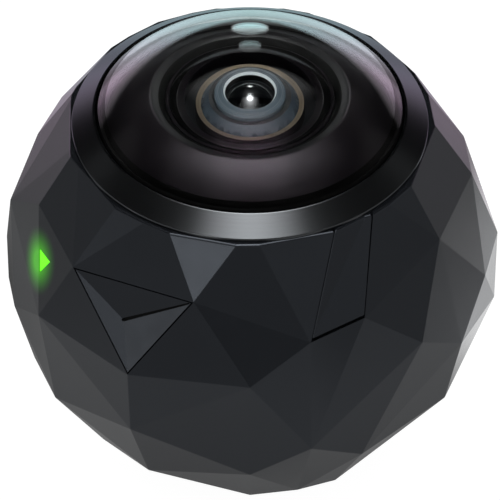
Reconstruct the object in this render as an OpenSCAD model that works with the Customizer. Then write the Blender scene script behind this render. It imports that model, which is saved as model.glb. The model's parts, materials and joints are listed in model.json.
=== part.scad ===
// Faceted ball camera with one very wide lens, on a flat base with a tripod socket.
// The base plane is z = 0, the lens looks up along +Z and the button side faces -Y.
// Azimuths run from -Y towards +X, and latitudes rise from the ball's equator.

/* [Body] */
// Diameter of the ball through its facet corners
ball_d = 61; // [59.5:0.5:66]
// Depth that the flat base cuts off the ball
base_drop = 3; // [2.7:0.1:3.4]
// Depth from the facet corners to the round cavity
shell_wall = 4.1; // [3.8:0.1:4.4]
// Height of the join between base cap and shell
split_h = 5; // [4.8:0.1:5.4]
// Thickness of the shell's floor above the join
floor_t = 2; // [1.8:0.1:2.3]
// Extra reach of the corners on the left and right outline
outline_lift = 0.6; // [0:0.1:0.8]
// Height of the crown's corners above the ledge, where the facet edges would meet
crown_rise = 2; // [1.6:0.1:2.4]
// Distance of the crown's corners inside the bezel's rim
crown_inset = 0.4; // [0.2:0.05:0.6]

/* [Lens ring] */
// Depth of the ledge below the top of the ball
ledge_drop = 9.6; // [9:0.1:10.2]
// Width of the bezel's slope
bezel_w = 3.3; // [3:0.1:3.6]
// Width of the bezel's flat lip
bezel_lip_w = 0.25; // [0.15:0.05:0.4]
// Chamfer inside the bezel's lip
bezel_chamfer = 0.2; // [0.1:0.05:0.3]
// Drop of the bezel's lip below the glass edge
bezel_lip_drop = 0.25; // [0.05:0.05:0.3]
// Height of the bezel's straight rim
bezel_rim_h = 0.35; // [0.2:0.05:0.5]
// Height of the glass edge above the ledge
bezel_h = 2.6; // [2.3:0.1:2.9]
// Wall of the bezel's spigot
spigot_wall = 1.05; // [0.9:0.05:1.15]
// Depth of the bezel's bore in the shell
shelf_depth = 2.6; // [2.4:0.1:2.9]
// Thickness of the shelf under the lens housing
shelf_t = 2.1; // [1.8:0.1:2.4]
// Width of the shelf
shelf_w = 2.5; // [2.2:0.1:2.8]

/* [Dome glass] */
// Radius of curvature of the dome
dome_r = 26.5; // [24.5:0.1:29]
// Thickness of the dome
dome_t = 1.8; // [1.6:0.1:2]
// Height of the dome's straight edge
glass_edge_h = 1.3; // [1.1:0.1:1.5]
// Gap between the dome and the bezel
glass_gap = 0.15; // [0.1:0.05:0.2]
// Thickness of the seal under the dome
dome_seal_t = 0.4; // [0.3:0.05:0.5]

/* [Lens housing] */
// Thickness of the housing's flange
flange_t = 1; // [0.8:0.1:1.2]
// Width of the housing's flank, from the dome's seat to the crest
flank_w = 5.45; // [5:0.05:5.9]
// Bow of the housing's flank
flank_bow = 0.35; // [0.2:0.05:0.5]
// Gap between the crest and the dome
crest_gap = 0.7; // [0.5:0.05:1]
// Width of the lip inside the crest
lip_w = 1.8; // [1.6:0.1:2]
// Drop of the lip from the crest to the second lens's edge
lip_drop = 0.4; // [0.3:0.05:0.5]
// Wall of the housing under its flank
housing_wall = 1.2; // [1:0.1:1.4]
// Drop of the housing's boss below the shelf
boss_drop = 5.3; // [4.9:0.1:5.6]
// Wall of the housing's boss
boss_wall = 1.1; // [0.9:0.1:1.2]

/* [Second lens] */
// Height of the second lens's edge
second_edge_h = 1.9; // [1.7:0.1:2.1]
// Gap between the second lens and the dome on the axis
second_gap = 1.2; // [1:0.1:1.5]
// Radius of the hollow in the second lens's back
second_hollow_r = 8.2; // [8.1:0.1:8.4]
// Thickness of the second lens on its axis
second_t = 3.5; // [3.4:0.1:3.6]
// Depth of the black ring below the second lens's edge
second_ring_drop = 0.3; // [0.2:0.05:0.4]
// Wall of the black ring round the second lens
second_ring_wall = 0.38; // [0.3:0.02:0.44]

/* [Lens barrel] */
// Radius of the barrel's threaded body
barrel_r = 7.2; // [7:0.1:7.4]
// Radius of the barrel's nose at its top
nose_r = 4.5; // [4.4:0.05:4.6]
// Radius of the barrel's nose at its foot
nose_foot_r = 5.3; // [5.2:0.05:5.4]
// Height of the nose above the barrel's shoulder
nose_h = 1.75; // [1.65:0.05:1.8]
// Depth of the barrel's shoulder below the second lens
shoulder_drop = 1.2; // [1.1:0.1:1.4]
// Wall of the gold ring on the shoulder
gold_ring_wall = 0.6; // [0.54:0.02:0.7]
// Height of the gold ring
gold_ring_h = 1; // [0.8:0.1:1.1]
// Thickness of the barrel's flange
barrel_flange_t = 1.5; // [1.3:0.1:1.7]
// Length of the barrel's tail below its flange
tail_l = 3.5; // [3.2:0.1:3.6]
// Wall of the barrel's tail
tail_wall = 2.35; // [2.2:0.05:2.4]
// Radius of the bore that holds the rear lens
rear_r = 4; // [3.9:0.05:4.05]
// Radius of the third lens
third_r = 2.65; // [2.6:0.05:2.75]
// Height of the third lens's crown
third_crown = 0.75; // [0.65:0.05:0.8]
// Height of the third lens's edge
third_edge_h = 1.3; // [1.2:0.1:1.5]
// Thickness of the shelf under the third lens
third_shelf_t = 0.6; // [0.5:0.05:0.8]
// Width of the shelf under the third lens
third_shelf_w = 0.5; // [0.4:0.05:0.6]
// Outer radius of the third lens's retainer
retainer_r = 3.9; // [3.8:0.05:3.95]
// Height of the third lens's retainer
retainer_h = 0.45; // [0.4:0.05:0.5]
// Rise of the retainer's top towards the third lens
retainer_rise = 0.2; // [0.1:0.05:0.25]
// Chamfer on the third lens's retainer
retainer_chamfer = 0.12; // [0.08:0.02:0.2]
// Length of the spacer above the aperture stop
spacer_l = 2.2; // [2:0.1:2.4]
// Thickness of the aperture stop
stop_t = 0.4; // [0.3:0.05:0.5]
// Radius of the aperture
stop_hole_r = 0.9; // [0.6:0.1:1.2]
// Height of the rear lens's edge
rear_edge_h = 2.4; // [2.2:0.1:2.6]
// Depth of the hollows in the rear lens's faces
rear_hollow = 0.5; // [0.3:0.1:0.6]
// Width of the flat rim of the rear lens, its spacer and its lock ring
rear_rim_w = 0.9; // [0.7:0.05:1.1]
// Height of the rear lens's lock ring
lock_ring_h = 1.2; // [1:0.1:1.4]

/* [Sensor] */
// Distance of the corner screws from the lens mount's sides
screw_edge = 1.8; // [1.6:0.1:2.2]
// Height of the lens mount
mount_h = 6; // [5.8:0.1:6.3]
// Thickness of the sensor board
sensor_board_t = 1; // [0.8:0.1:1.2]
// Width of the image sensor
sensor_w = 10; // [9:0.5:10.5]
// Depth of the image sensor
sensor_d = 9; // [8.5:0.5:9.5]
// Thickness of the image sensor
sensor_t = 1.5; // [1.3:0.1:1.7]
// Thickness of the infrared filter
filter_t = 0.5; // [0.4:0.05:0.6]
// Margin of the sensor round the infrared filter
filter_margin = 1; // [0.6:0.1:1.4]
// Thickness of the heat spreader
spreader_t = 1.5; // [1.2:0.1:1.8]

/* [Base] */
// Thickness of the base cap's floor
cap_floor_t = 2; // [1.8:0.1:2.2]
// Radius of the tripod socket's plain wall, the drill size of a quarter inch thread
socket_r = 2.55; // [2.5:0.05:2.6]
// Depth of the tripod socket
socket_depth = 6.5; // [6:0.1:7]
// Radius of the tripod bush
bush_r = 5; // [4.6:0.1:5.2]
// Height of the tripod bush
bush_h = 8; // [7.8:0.1:8.4]
// Radius of the tripod bush's flange
bush_flange_r = 6.5; // [6.3:0.1:6.6]
// Thickness of the tripod bush's flange
bush_flange_t = 2; // [1.6:0.1:2.4]
// Thickness of the contact board
contact_board_t = 1; // [0.8:0.1:1.2]
// Radius of a charging contact
contact_r = 0.8; // [0.6:0.05:0.85]
// Angle between charging contacts
contact_step = 20; // [18:1:24]
// Depth of the charging contacts below the base plane
contact_recess = 0.15; // [0.1:0.05:0.3]
// Width of the base seal
base_seal_w = 1.4; // [1.2:0.1:1.6]
// Height of the base seal
base_seal_h = 1; // [0.8:0.1:1.2]

/* [Chassis and battery] */
// Length of the battery
battery_l = 26; // [25:0.5:26.5]
// Width of the battery
battery_w = 20; // [19:0.5:20.4]
// Gap between the shield can and the sensor's screws
board_gap = 1.5; // [1:0.1:3]
// Width of the chassis's foot ring
foot_w = 4.6; // [4.4:0.1:5]
// Radius of the chassis's posts
post_r = 1.2; // [1:0.05:1.25]
// Thickness of the chassis's deck
deck_t = 1.6; // [1.4:0.1:1.8]
// Height of the standoffs under the main board
standoff_h = 1.8; // [1.6:0.1:2]
// Margin of the standoffs round their screws' heads
standoff_margin = 0.4; // [0.3:0.05:0.6]
// Radius of the battery's upright edges
battery_round = 2; // [1.5:0.1:3]
// Thickness of the main board
main_board_t = 1.2; // [1:0.1:1.4]
// Sheet thickness of the shield can
can_t = 0.3; // [0.2:0.05:0.4]
// Side of the processor
processor_side = 9; // [8.5:0.5:9.5]
// Side of the memory chip
memory_side = 6; // [5.5:0.5:6.5]
// Thickness of the chips
chip_t = 1.2; // [1:0.1:1.3]
// Length of the antenna
antenna_l = 8; // [7:0.5:9]
// Width and height of the antenna
antenna_t = 1.6; // [1.2:0.1:2]
// Width of the flex cable
flex_w = 8; // [7:0.5:9]
// Thickness of the flex cable
flex_t = 0.3; // [0.2:0.05:0.4]
// Height of a flex connector
connector_h = 1.2; // [1:0.1:1.4]
// Depth of a flex connector
connector_d = 2.4; // [2.2:0.1:2.6]
// Margin of a flex connector round the cable
connector_margin = 0.5; // [0.3:0.1:0.8]

/* [Vibration motor] */
// Radius of the motor's can
motor_r = 2; // [1.8:0.05:2.2]
// Length of the motor's can
motor_l = 7; // [6.5:0.1:7.2]
// Radius of the motor's shaft
shaft_r = 0.4; // [0.35:0.05:0.5]
// Swing radius of the eccentric weight
weight_r = 2.4; // [2.2:0.05:2.6]
// Length of the eccentric weight
weight_l = 3.4; // [3:0.1:3.6]
// Wall of the motor's bracket
bracket_wall = 0.7; // [0.6:0.05:0.8]
// Length of the motor's bracket
bracket_l = 5; // [4.5:0.1:5.5]

/* [Button] */
// Gap round the button
button_gap = 0.2; // [0.15:0.05:0.3]
// Depth of the dish in the button's face
dish_depth = 0.7; // [0.4:0.1:0.9]
// Thickness of the button
button_t = 1.7; // [1.6:0.05:1.9]
// Travel of the button
button_travel = 0.4; // [0.3:0.05:0.5]
// Thickness of the web that guides the button's stem
button_web = 1.5; // [1.3:0.1:1.7]
// Radius of the button's stem
stem_r = 1.7; // [1.6:0.05:1.8]
// Thickness of the clip on the stem
clip_t = 0.4; // [0.3:0.05:0.5]
// Side of the switch's body
switch_side = 6; // [5.6:0.2:6.2]
// Height of the switch's body
switch_h = 3; // [2.6:0.1:3.2]
// Radius of the switch's plunger
plunger_r = 1.4; // [1.2:0.1:1.5]
// Wall of the cup behind the button
cup_wall = 1.5; // [1.4:0.05:1.7]
// Width of the seal round the stem
button_seal_w = 1.4; // [1.2:0.1:1.6]
// Thickness of the seal round the stem
button_seal_t = 0.8; // [0.6:0.1:1]
// Width of the clip on the stem
clip_w = 0.9; // [0.7:0.1:1]
// Depth of the clip's groove in the stem
clip_groove = 0.3; // [0.2:0.05:0.4]
// Half width of the crease in the button at its deep end
crease_r = 0.22; // [0.15:0.01:0.3]
// Share of the way from the dish to the corner that the crease runs
crease_run = 0.97; // [0.9:0.01:0.98]
// Thickness of the button board
button_board_t = 1; // [0.8:0.1:1.2]

/* [Status light] */
// Side of the light's triangular window
window_side = 2.8; // [2.6:0.1:3.1]
// Distance of the window from the facet's edge
window_edge = 0.3; // [0.2:0.05:0.5]
// Length of the window's triangular head
window_l = 1.8; // [1.6:0.1:2]
// Length of the light pipe's round foot
pipe_foot_l = 1.4; // [1.2:0.1:1.6]
// Height of the light emitting diode
led_h = 0.9; // [0.7:0.1:1.1]
// Side of the light emitting diode
led_side = 1.6; // [1.2:0.1:1.8]
// Wall of the boss behind the light
light_boss_wall = 1; // [0.8:0.1:1.2]
// Thickness of the light's board
led_board_t = 0.8; // [0.6:0.1:1]

/* [Microphone] */
// Gap round the microphone cover
mic_gap = 0.2; // [0.15:0.05:0.3]
// Thickness of the microphone cover at its fold
mic_cover_t = 0.9; // [0.8:0.05:1]
// Thickness of the web behind the cover
mic_web = 1; // [0.9:0.05:1.2]
// Radius of the sound hole
sound_hole_r = 0.6; // [0.4:0.05:0.7]
// Width of the microphone
microphone_w = 3.4; // [3:0.1:3.6]
// Depth of the microphone
microphone_d = 2.6; // [2.2:0.1:3]
// Wall of the boss behind the cover
mic_boss_wall = 0.9; // [0.8:0.1:1.1]
// Drop of the boss below the middle of the cover
mic_boss_drop = 3; // [2.6:0.1:3.4]
// Wall between the cover and the bezel's bore
mic_wall = 0.4; // [0.3:0.05:0.6]
// Thickness of the membrane
membrane_t = 0.3; // [0.2:0.05:0.4]
// Height of the microphone
microphone_h = 1.2; // [1:0.1:1.4]
// Thickness of the microphone's board
mic_board_t = 0.8; // [0.6:0.1:1]

/* [Clearances and screws] */
// Clearance of a close round fit
fit = 0.05; // [0.03:0.01:0.08]
// Clearance of a loose fit
loose = 0.3; // [0.25:0.05:0.35]
// Clearance of a sliding or spinning piece
slip = 0.15; // [0.1:0.01:0.18]
// Radius of the small screws' shanks
screw_r = 0.75; // [0.7:0.05:0.8]
// Radius of the small screws' heads
screw_head_r = 1.5; // [1.4:0.05:1.55]
// Height of the small screws' heads
screw_head_h = 1.1; // [1:0.05:1.2]
// Thread engagement of the small screws
screw_bite = 2.4; // [2.2:0.1:2.6]
// Radius of the tiny screws' shanks
tiny_screw_r = 0.4; // [0.35:0.05:0.45]
// Radius of the tiny screws' heads
tiny_head_r = 0.7; // [0.6:0.05:0.75]
// Height of the tiny screws' heads
tiny_head_h = 0.5; // [0.4:0.05:0.6]
// Thread engagement of the tiny screws
tiny_bite = 1.6; // [1.4:0.1:1.8]

/* [Hidden] */
$fn = 64;
// Overshoot of the cuts
over = 1;

// Heights of the body
ball_r = ball_d / 2;
cavity_r = ball_r - shell_wall;
centre_z = ball_r - base_drop;
base_r = sqrt(ball_r * ball_r - centre_z * centre_z);
ledge_z = centre_z + ball_r - ledge_drop;
bezel_r = sqrt(ball_r * ball_r - pow(ball_r - ledge_drop, 2));
shelf_z = ledge_z - shelf_depth;
ceiling_z = shelf_z - shelf_t;
floor_z = split_h + floor_t;
centre = [0, 0, centre_z];

// Heights and radii of the lens ring, from the ledge up
glass_r = bezel_r - bezel_w;
spigot_in_r = glass_r + glass_gap;
spigot_r = spigot_in_r + spigot_wall;
mouth_r = spigot_r - shelf_w;
flange_top_z = shelf_z + flange_t;
glass_edge_z = ledge_z + bezel_h;
glass_back_z = glass_edge_z - glass_edge_h;
seat_z = glass_back_z - dome_seal_t;
dome_centre_z = glass_edge_z - sqrt(dome_r * dome_r - glass_r * glass_r);
dome_in_r = dome_r - dome_t;
dome_back_r = sqrt(dome_in_r * dome_in_r - pow(glass_back_z - dome_centre_z, 2));

// Heights and radii of the second lens, under the dome
crest_r = dome_back_r - flank_w;
crest_z = dome_centre_z + sqrt(dome_in_r * dome_in_r - crest_r * crest_r) - crest_gap;
second_seat_r = crest_r - lip_w;
second_r = second_seat_r - fit - second_ring_wall - fit;
second_edge_z = crest_z - lip_drop;
second_back_z = second_edge_z - second_edge_h;
second_top_z = dome_centre_z + dome_in_r - second_gap;
second_crown = second_top_z - second_edge_z;
hollow_h = second_top_z - second_t - second_back_z;
hollow_ball_r = (second_hollow_r * second_hollow_r + hollow_h * hollow_h) / (2 * hollow_h);

// Heights of the barrel and what is in it
boss_z = shelf_z - boss_drop;
boss_r = barrel_r + fit + boss_wall;
corner_screw_r = boss_r + loose + screw_head_r;
corner_screw_at = corner_screw_r / sqrt(2);
barrel_flange_r = corner_screw_r + screw_head_r + loose;
shoulder_z = second_back_z - shoulder_drop;
nose_z = shoulder_z + nose_h;
barrel_flange_z = boss_z - barrel_flange_t;
tail_z = barrel_flange_z - tail_l;
tail_r = rear_r + fit + tail_wall;
third_z = nose_z - third_edge_h;
rear_top_z = third_z - third_shelf_t;
stop_z = rear_top_z - spacer_l - stop_t;
rear_z = stop_z - rear_edge_h;
lock_z = rear_z - lock_ring_h;

// Heights of the sensor group, hung below the barrel
mount_z = barrel_flange_z - mount_h;
sensor_board_z = mount_z - sensor_board_t;
spreader_z = sensor_board_z - spreader_t;
mount_side = (corner_screw_at + screw_edge) * 2;
connector_y = mount_side / 2 + loose + connector_d / 2;
sensor_board_r = connector_y + connector_d / 2 + loose;

// Heights of the chassis group, stacked on the shell's floor
battery_z = bush_h + loose + loose;
can_h = chip_t + loose + can_t;
main_board_top = spreader_z - screw_head_h - board_gap - can_h;
main_board_z = main_board_top - main_board_t;
deck_z = main_board_z - standoff_h - deck_t;
battery_h = deck_z - loose - battery_z;
foot_r = sqrt(cavity_r * cavity_r - pow(centre_z - floor_z, 2)) - loose - loose;
deck_r = mouth_r - loose - loose;
main_board_r = deck_r - loose;
board_screw_at = main_board_r - screw_head_r * 2;
can_w = processor_side + memory_side + loose * 3 + can_t * 2;
can_d = processor_side + loose * 2 + can_t * 2;
can_y = can_d / 2 + screw_head_r + loose - board_screw_at / sqrt(2);
chassis_screw_at = foot_r - screw_head_r - loose - loose;

// Place of the vibration motor, behind the battery and under the deck
motor_y = battery_w / 2 + loose + loose + weight_r;
motor_z = deck_z - weight_r - loose;
motor_x = -(motor_l + slip + slip + weight_l) / 2;
post_at = post_r + loose + loose - motor_x;
post_y = battery_w / 2 + loose + post_r;

// Facet corners of the ball, as azimuth and latitude in degrees
button_corners = [[-52, 24], [-15, 28], [-30, 5]];
dish_corner = [-35, 17];
light_corners = [[-75, 27], [-60, 5]];
mic_corners = [[30, 20.5], [15, 18]];
front_corners = [
    [60, 27], [90, 25], [105, 25], [-90, 5], [0, 7.5], [45, 7], [75, 5.5],
    [-75, -4], [60, -3.5], [-30, -13], [15, -14.5],
    [-60, -23], [0, -24.5], [30, -24], [60, -23],
    [-30, -34], [0, -44], [15, -41.5], [28, -42], [-105, 26]
];
back_corners = [
    [150, 24], [180, 28], [210, 22], [240, 27], [120, 6], [150, 4], [165, 7], [195, 5], [225, 6], [250, 8],
    [105, -10], [135, -14], [180, -13], [210, -14], [240, -10], [270, -8],
    [90, -24], [120, -30], [150, -24], [195, -26], [225, -24], [255, -25], [-80, -26],
    [75, -44], [135, -46], [180, -42], [225, -45], [-90, -44], [-60, -46]
];
outline_corners = [[-90, 16], [90, 6], [80, -5]];
crown_azimuths = [0, 30, 45, 60, 90, 105, 120, 135, 165, 195, 210, 225, 255, 285, 315, 330];
low_ring = [for (i = [0 : 7]) [45 * i, -58]];
base_corner_count = 10;

// Corners of the crown, which the ledge cuts off
crown_r = bezel_r - crown_inset;
crown_z = ledge_z + crown_rise;

function ring_point(r, az, z) = [r * sin(az), -r * cos(az), z];
function corner(c, r = ball_r) = centre + ring_point(r * cos(c[1]), c[0], r * sin(c[1]));
function unit(v) = v / norm(v);
function outward(n, p) = n * (p - centre) > 0 ? n : -n;
function plane_normal(a, b, c) = outward(unit(cross(b - a, c - a)), a);
function in_plane(p, o, x, y) = [(p - o) * x, (p - o) * y];

ball_corners = concat(button_corners, light_corners, mic_corners, front_corners, back_corners, low_ring);
ball_points = concat(
    [for (c = ball_corners) corner(c)],
    [for (c = outline_corners) corner(c, ball_r + outline_lift)],
    [for (az = crown_azimuths) ring_point(crown_r, az, crown_z)],
    [for (i = [0 : base_corner_count - 1]) ring_point(base_r, 360 / base_corner_count * (i + 0.5), 0)]
);

// Button frame: the origin is the incentre of its facet, x runs along its top edge and z points out
button_pts = [for (c = button_corners) corner(c)];
button_sides = [
    norm(button_pts[1] - button_pts[2]),
    norm(button_pts[2] - button_pts[0]),
    norm(button_pts[0] - button_pts[1])
];
button_perimeter = button_sides * [1, 1, 1];
button_origin = (button_sides * button_pts) / button_perimeter;
button_n = plane_normal(button_pts[0], button_pts[1], button_pts[2]);
button_x = unit(button_pts[1] - button_pts[0]);
button_y = cross(button_n, button_x);
button_outline = [for (p = button_pts) in_plane(p, button_origin, button_x, button_y)];
button_inradius = abs(button_outline[0][1]);
button_face = [for (p = button_outline) p * (1 - button_gap / button_inradius)];
dish_dir = corner(dish_corner, 1) - centre;
dish_reach = ((button_origin - centre) * button_n) / (dish_dir * button_n);
dish_point = in_plane(centre + dish_dir * dish_reach, button_origin, button_x, button_y);

// Depths behind the button's face
pocket_z = -button_t - button_travel - slip;
web_z = pocket_z - button_web;
clip_z = web_z - slip - clip_t;
stem_end_z = clip_z - slip;
switch_z = clip_z - button_travel - slip;
button_board_z = switch_z - switch_h;
cup_in_r = switch_side / sqrt(2) + loose;
cup_r = cup_in_r + cup_wall;
button_seal_r = stem_r + button_seal_w;

// Light frame: the origin is on the facet's left edge, x points into the facet and z points out
light_a = corner(light_corners[0]);
light_b = corner(light_corners[1]);
light_origin = (light_a + light_b) / 2;
light_n = plane_normal(light_a, light_b, button_pts[0]);
light_y = unit(light_a - light_b);
light_flip = cross(light_y, light_n) * (button_pts[0] - light_origin) > 0 ? 1 : -1;
light_x = cross(light_y, light_n) * light_flip;
window_h = window_side * sqrt(3) / 2;
window_centre = window_edge + window_h / 3;
pipe_foot_r = window_side / sqrt(3) + loose;
light_boss_r = pipe_foot_r + fit + light_boss_wall;
pipe_end_z = -window_l - pipe_foot_l;
led_board_z = pipe_end_z - led_h;

// Microphone frame: the origin is the middle of the folded panel and z points out
mic_pts = [
    ring_point(crown_r, crown_azimuths[1], crown_z),
    ring_point(crown_r, crown_azimuths[2], crown_z),
    corner(mic_corners[0]),
    corner(mic_corners[1])
];
mic_origin = ([1, 1, 1, 1] * mic_pts) / 4;
mic_n = outward(unit(cross(mic_pts[2] - mic_pts[0], mic_pts[1] - mic_pts[3])), mic_origin);
mic_x = unit(cross([0, 0, 1], mic_n));
mic_y = cross(mic_n, mic_x);
mic_outline = [for (p = mic_pts) in_plane(p, mic_origin, mic_x, mic_y)];
mic_heights = [for (p = mic_pts) (p - mic_origin) * mic_n];
mic_half_width = abs(mic_outline[2][0] - mic_outline[3][0]) / 2;
mic_shrink = 1 - mic_gap / mic_half_width;
mic_floor_z = min(mic_heights) - mic_cover_t;
mic_web_z = mic_floor_z - mic_web;
mic_board_z = mic_web_z - membrane_t - microphone_h;
mic_cavity_r = norm([microphone_w, microphone_d]) / 2 + loose;
mic_boss_r = mic_cavity_r + mic_boss_wall;
mic_boss_at = [0, -mic_boss_drop];
mic_trim_r = spigot_r + fit + mic_wall;

// Patterns of screws
base_screw_azimuths = [60, 180, 300];
quarter_signs = [[1, 1], [-1, 1], [-1, -1], [1, -1]];
contact_azimuths = [for (i = [-1.5 : 1 : 1.5]) i * contact_step];
base_screw_at = base_r - screw_head_r - loose - loose;
floor_hole_r = base_screw_at - screw_head_r - loose - loose;
contact_at = (bush_flange_r + floor_hole_r) / 2;
screw_hole_r = screw_r + fit;
screw_pass_r = screw_r + loose;
base_head_z = contact_recess + screw_head_h;
base_seal_r = chassis_screw_at + screw_hole_r + loose;
button_screw_at = cup_in_r + cup_wall / 2;
// Room behind a small board, twice what stands in it
board_room = (button_board_t + tiny_head_h) * 2;

// Shared shapes

module at_frame(o, x, y, z) {
    multmatrix([
        [x[0], y[0], z[0], o[0]], [x[1], y[1], z[1], o[1]], [x[2], y[2], z[2], o[2]], [0, 0, 0, 1]
    ]) children();
}

module at_button() {
    at_frame(button_origin, button_x, button_y, button_n) children();
}

module at_light() {
    at_frame(light_origin, light_x, cross(light_n, light_x), light_n) children();
}

module at_mic() {
    at_frame(mic_origin, mic_x, mic_y, mic_n) children();
}

// Cylinder from height a to height b
module post(r, a, b) {
    translate([0, 0, a]) cylinder(r = r, h = b - a);
}

// Ring from height a to height b
module ring(r_in, r_out, a, b) {
    difference() {
        post(r_out, a, b);
        post(r_in, a - over, b + over);
    }
}

// Block centred on the axis from height a to height b
module block(w, d, a, b) {
    translate([-w / 2, -d / 2, a]) cube([w, d, b - a]);
}

// Screw with a hexagon socket, its head standing on height z and its shank pointing down
module screw(r, head_r, head_h, shank_l, z) {
    difference() {
        union() {
            post(head_r, z, z + head_h);
            post(r, z - shank_l, z + head_h / 4);
        }
        translate([0, 0, z + head_h / 2]) cylinder(r = head_r / 2, h = head_h, $fn = 6);
    }
}

// Lens with a flat back at z, a straight edge of radius r up to edge_z and a crown that bulges by h
module crown_lens(r, z, edge_z, h) {
    ball = (r * r + h * h) / (2 * h);
    intersection() {
        post(r, z, edge_z + h + over);
        translate([0, 0, edge_z + h - ball]) sphere(r = ball);
    }
}

module at_azimuth(az, r) {
    rotate([0, 0, az]) translate([0, -r, 0]) children();
}

module corner_places() {
    for (s = quarter_signs) translate([s[0] * corner_screw_at, s[1] * corner_screw_at, 0]) children();
}

module board_screw_places() {
    for (i = [0 : 3]) at_azimuth(45 + 90 * i, board_screw_at) children();
}

module chassis_screw_places() {
    for (az = [0, 180]) at_azimuth(az, chassis_screw_at) children();
}

module button_screw_places() {
    for (s = [-1, 1]) translate([s * button_screw_at, 0, 0]) children();
}

// Body shapes

module ball() {
    hull() polyhedron(points = ball_points, faces = [[for (i = [0 : len(ball_points) - 1]) i]]);
}

module cavity() {
    intersection() {
        translate(centre) sphere(r = cavity_r);
        post(ball_r, floor_z, ceiling_z);
    }
}

module inner_bosses() {
    at_button() post(cup_r, button_board_z, 0);
    at_light() translate([window_centre, 0, 0]) post(light_boss_r, led_board_z, 0);
    at_mic() translate(mic_boss_at) post(mic_boss_r, mic_board_z, 0);
}

module button_pocket() {
    at_button() {
        translate([0, 0, pocket_z]) linear_extrude(over - pocket_z) polygon(button_outline);
        post(button_seal_r + fit, pocket_z - button_seal_t, pocket_z + over / 2);
        post(stem_r + slip, web_z - over, pocket_z);
        post(cup_in_r, button_board_z - over, web_z);
        post(cup_r + fit, button_board_z - board_room, button_board_z);
        button_screw_places()
            post(tiny_screw_r + fit, button_board_z - over, button_board_z + tiny_bite + loose);
    }
}

module window_outline(grow) {
    c = window_side / sqrt(3) + grow * 2;
    translate([window_centre, 0]) polygon([for (a = [0, 120, 240]) [c * cos(a), c * sin(a)]]);
}

module light_pocket() {
    at_light() {
        translate([0, 0, -window_l - over / 2]) linear_extrude(window_l + over) window_outline(fit);
        translate([window_centre, 0, 0]) {
            post(pipe_foot_r + fit, led_board_z - over, -window_l);
            post(light_boss_r + fit, led_board_z - board_room, led_board_z);
        }
    }
}

module mic_pocket() {
    at_mic() {
        translate(mic_boss_at) {
            post(sound_hole_r, mic_web_z - over / 2, mic_floor_z + over / 2);
            post(mic_cavity_r, mic_board_z - over, mic_web_z);
            post(mic_boss_r + fit, mic_board_z - board_room, mic_board_z);
        }
    }
    difference() {
        at_mic() translate([0, 0, mic_floor_z]) linear_extrude(over * 3 - mic_floor_z) polygon(mic_outline);
        post(mic_trim_r, floor_z, crown_z + over * 3);
    }
}

module main_shell() {
    color("#2c2d31") difference() {
        union() {
            difference() {
                ball();
                cavity();
            }
            intersection() {
                ball();
                inner_bosses();
            }
        }
        post(ball_d, ledge_z, ledge_z + ball_r);
        post(ball_d, -over, split_h);
        post(spigot_r + fit, shelf_z, ledge_z + over);
        post(mouth_r, ceiling_z - over, shelf_z + over);
        post(floor_hole_r, split_h - over, floor_z + over);
        for (az = base_screw_azimuths) at_azimuth(az, base_screw_at)
            post(screw_hole_r, split_h - over, floor_z + over);
        chassis_screw_places() post(screw_hole_r, split_h - over, floor_z + over);
        button_pocket();
        light_pocket();
        mic_pocket();
    }
}

module base_cap() {
    color("#27282b") difference() {
        intersection() {
            ball();
            post(ball_d, -over, split_h);
        }
        post(floor_hole_r, cap_floor_t, split_h + over);
        post(bush_r + fit, -over, cap_floor_t + over);
        ring(base_seal_r, base_seal_r + base_seal_w, split_h - base_seal_h, split_h + over);
        for (az = contact_azimuths) at_azimuth(az, contact_at)
            post(contact_r + fit, -over, cap_floor_t + over);
        for (az = base_screw_azimuths) at_azimuth(az, base_screw_at) {
            post(screw_pass_r, -over, split_h + over);
            post(screw_head_r + slip, -over, base_head_z);
        }
    }
}

module base_seal() {
    color("#161616") ring(base_seal_r + fit, base_seal_r + base_seal_w - fit, split_h - base_seal_h, split_h);
}

module base_screws() {
    color("silver") for (az = base_screw_azimuths) at_azimuth(az, base_screw_at) mirror([0, 0, 1])
        screw(screw_r, screw_head_r, screw_head_h, floor_z - base_head_z - loose, -base_head_z);
}

module tripod_bush() {
    color("goldenrod") difference() {
        union() {
            post(bush_r, 0, bush_h);
            post(bush_flange_r, cap_floor_t, cap_floor_t + bush_flange_t);
        }
        post(socket_r, -over, socket_depth);
    }
}

module contact_board() {
    color("darkgreen") ring(
        bush_flange_r + slip, floor_hole_r - slip, cap_floor_t, cap_floor_t + contact_board_t
    );
}

module charging_contacts() {
    color("gold") for (az = contact_azimuths) at_azimuth(az, contact_at)
        post(contact_r, contact_recess, cap_floor_t);
}

// Lens ring and glass

module bezel_ring() {
    lip_z = glass_edge_z - bezel_lip_drop;
    color("#141517") rotate_extrude() polygon([
        [spigot_in_r, flange_top_z],
        [spigot_r, flange_top_z],
        [spigot_r, ledge_z],
        [bezel_r, ledge_z],
        [bezel_r, ledge_z + bezel_rim_h],
        [spigot_in_r + bezel_chamfer + bezel_lip_w, lip_z],
        [spigot_in_r + bezel_chamfer, lip_z],
        [spigot_in_r, lip_z - bezel_chamfer]
    ]);
}

module dome_lens() {
    color("lightblue", 0.5) difference() {
        intersection() {
            post(glass_r, glass_back_z, dome_centre_z + dome_r + over);
            translate([0, 0, dome_centre_z]) sphere(r = dome_r);
        }
        translate([0, 0, dome_centre_z]) sphere(r = dome_in_r);
    }
}

module dome_seal() {
    color("#101010") ring(dome_back_r, glass_r - fit, seat_z, glass_back_z);
}

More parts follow.
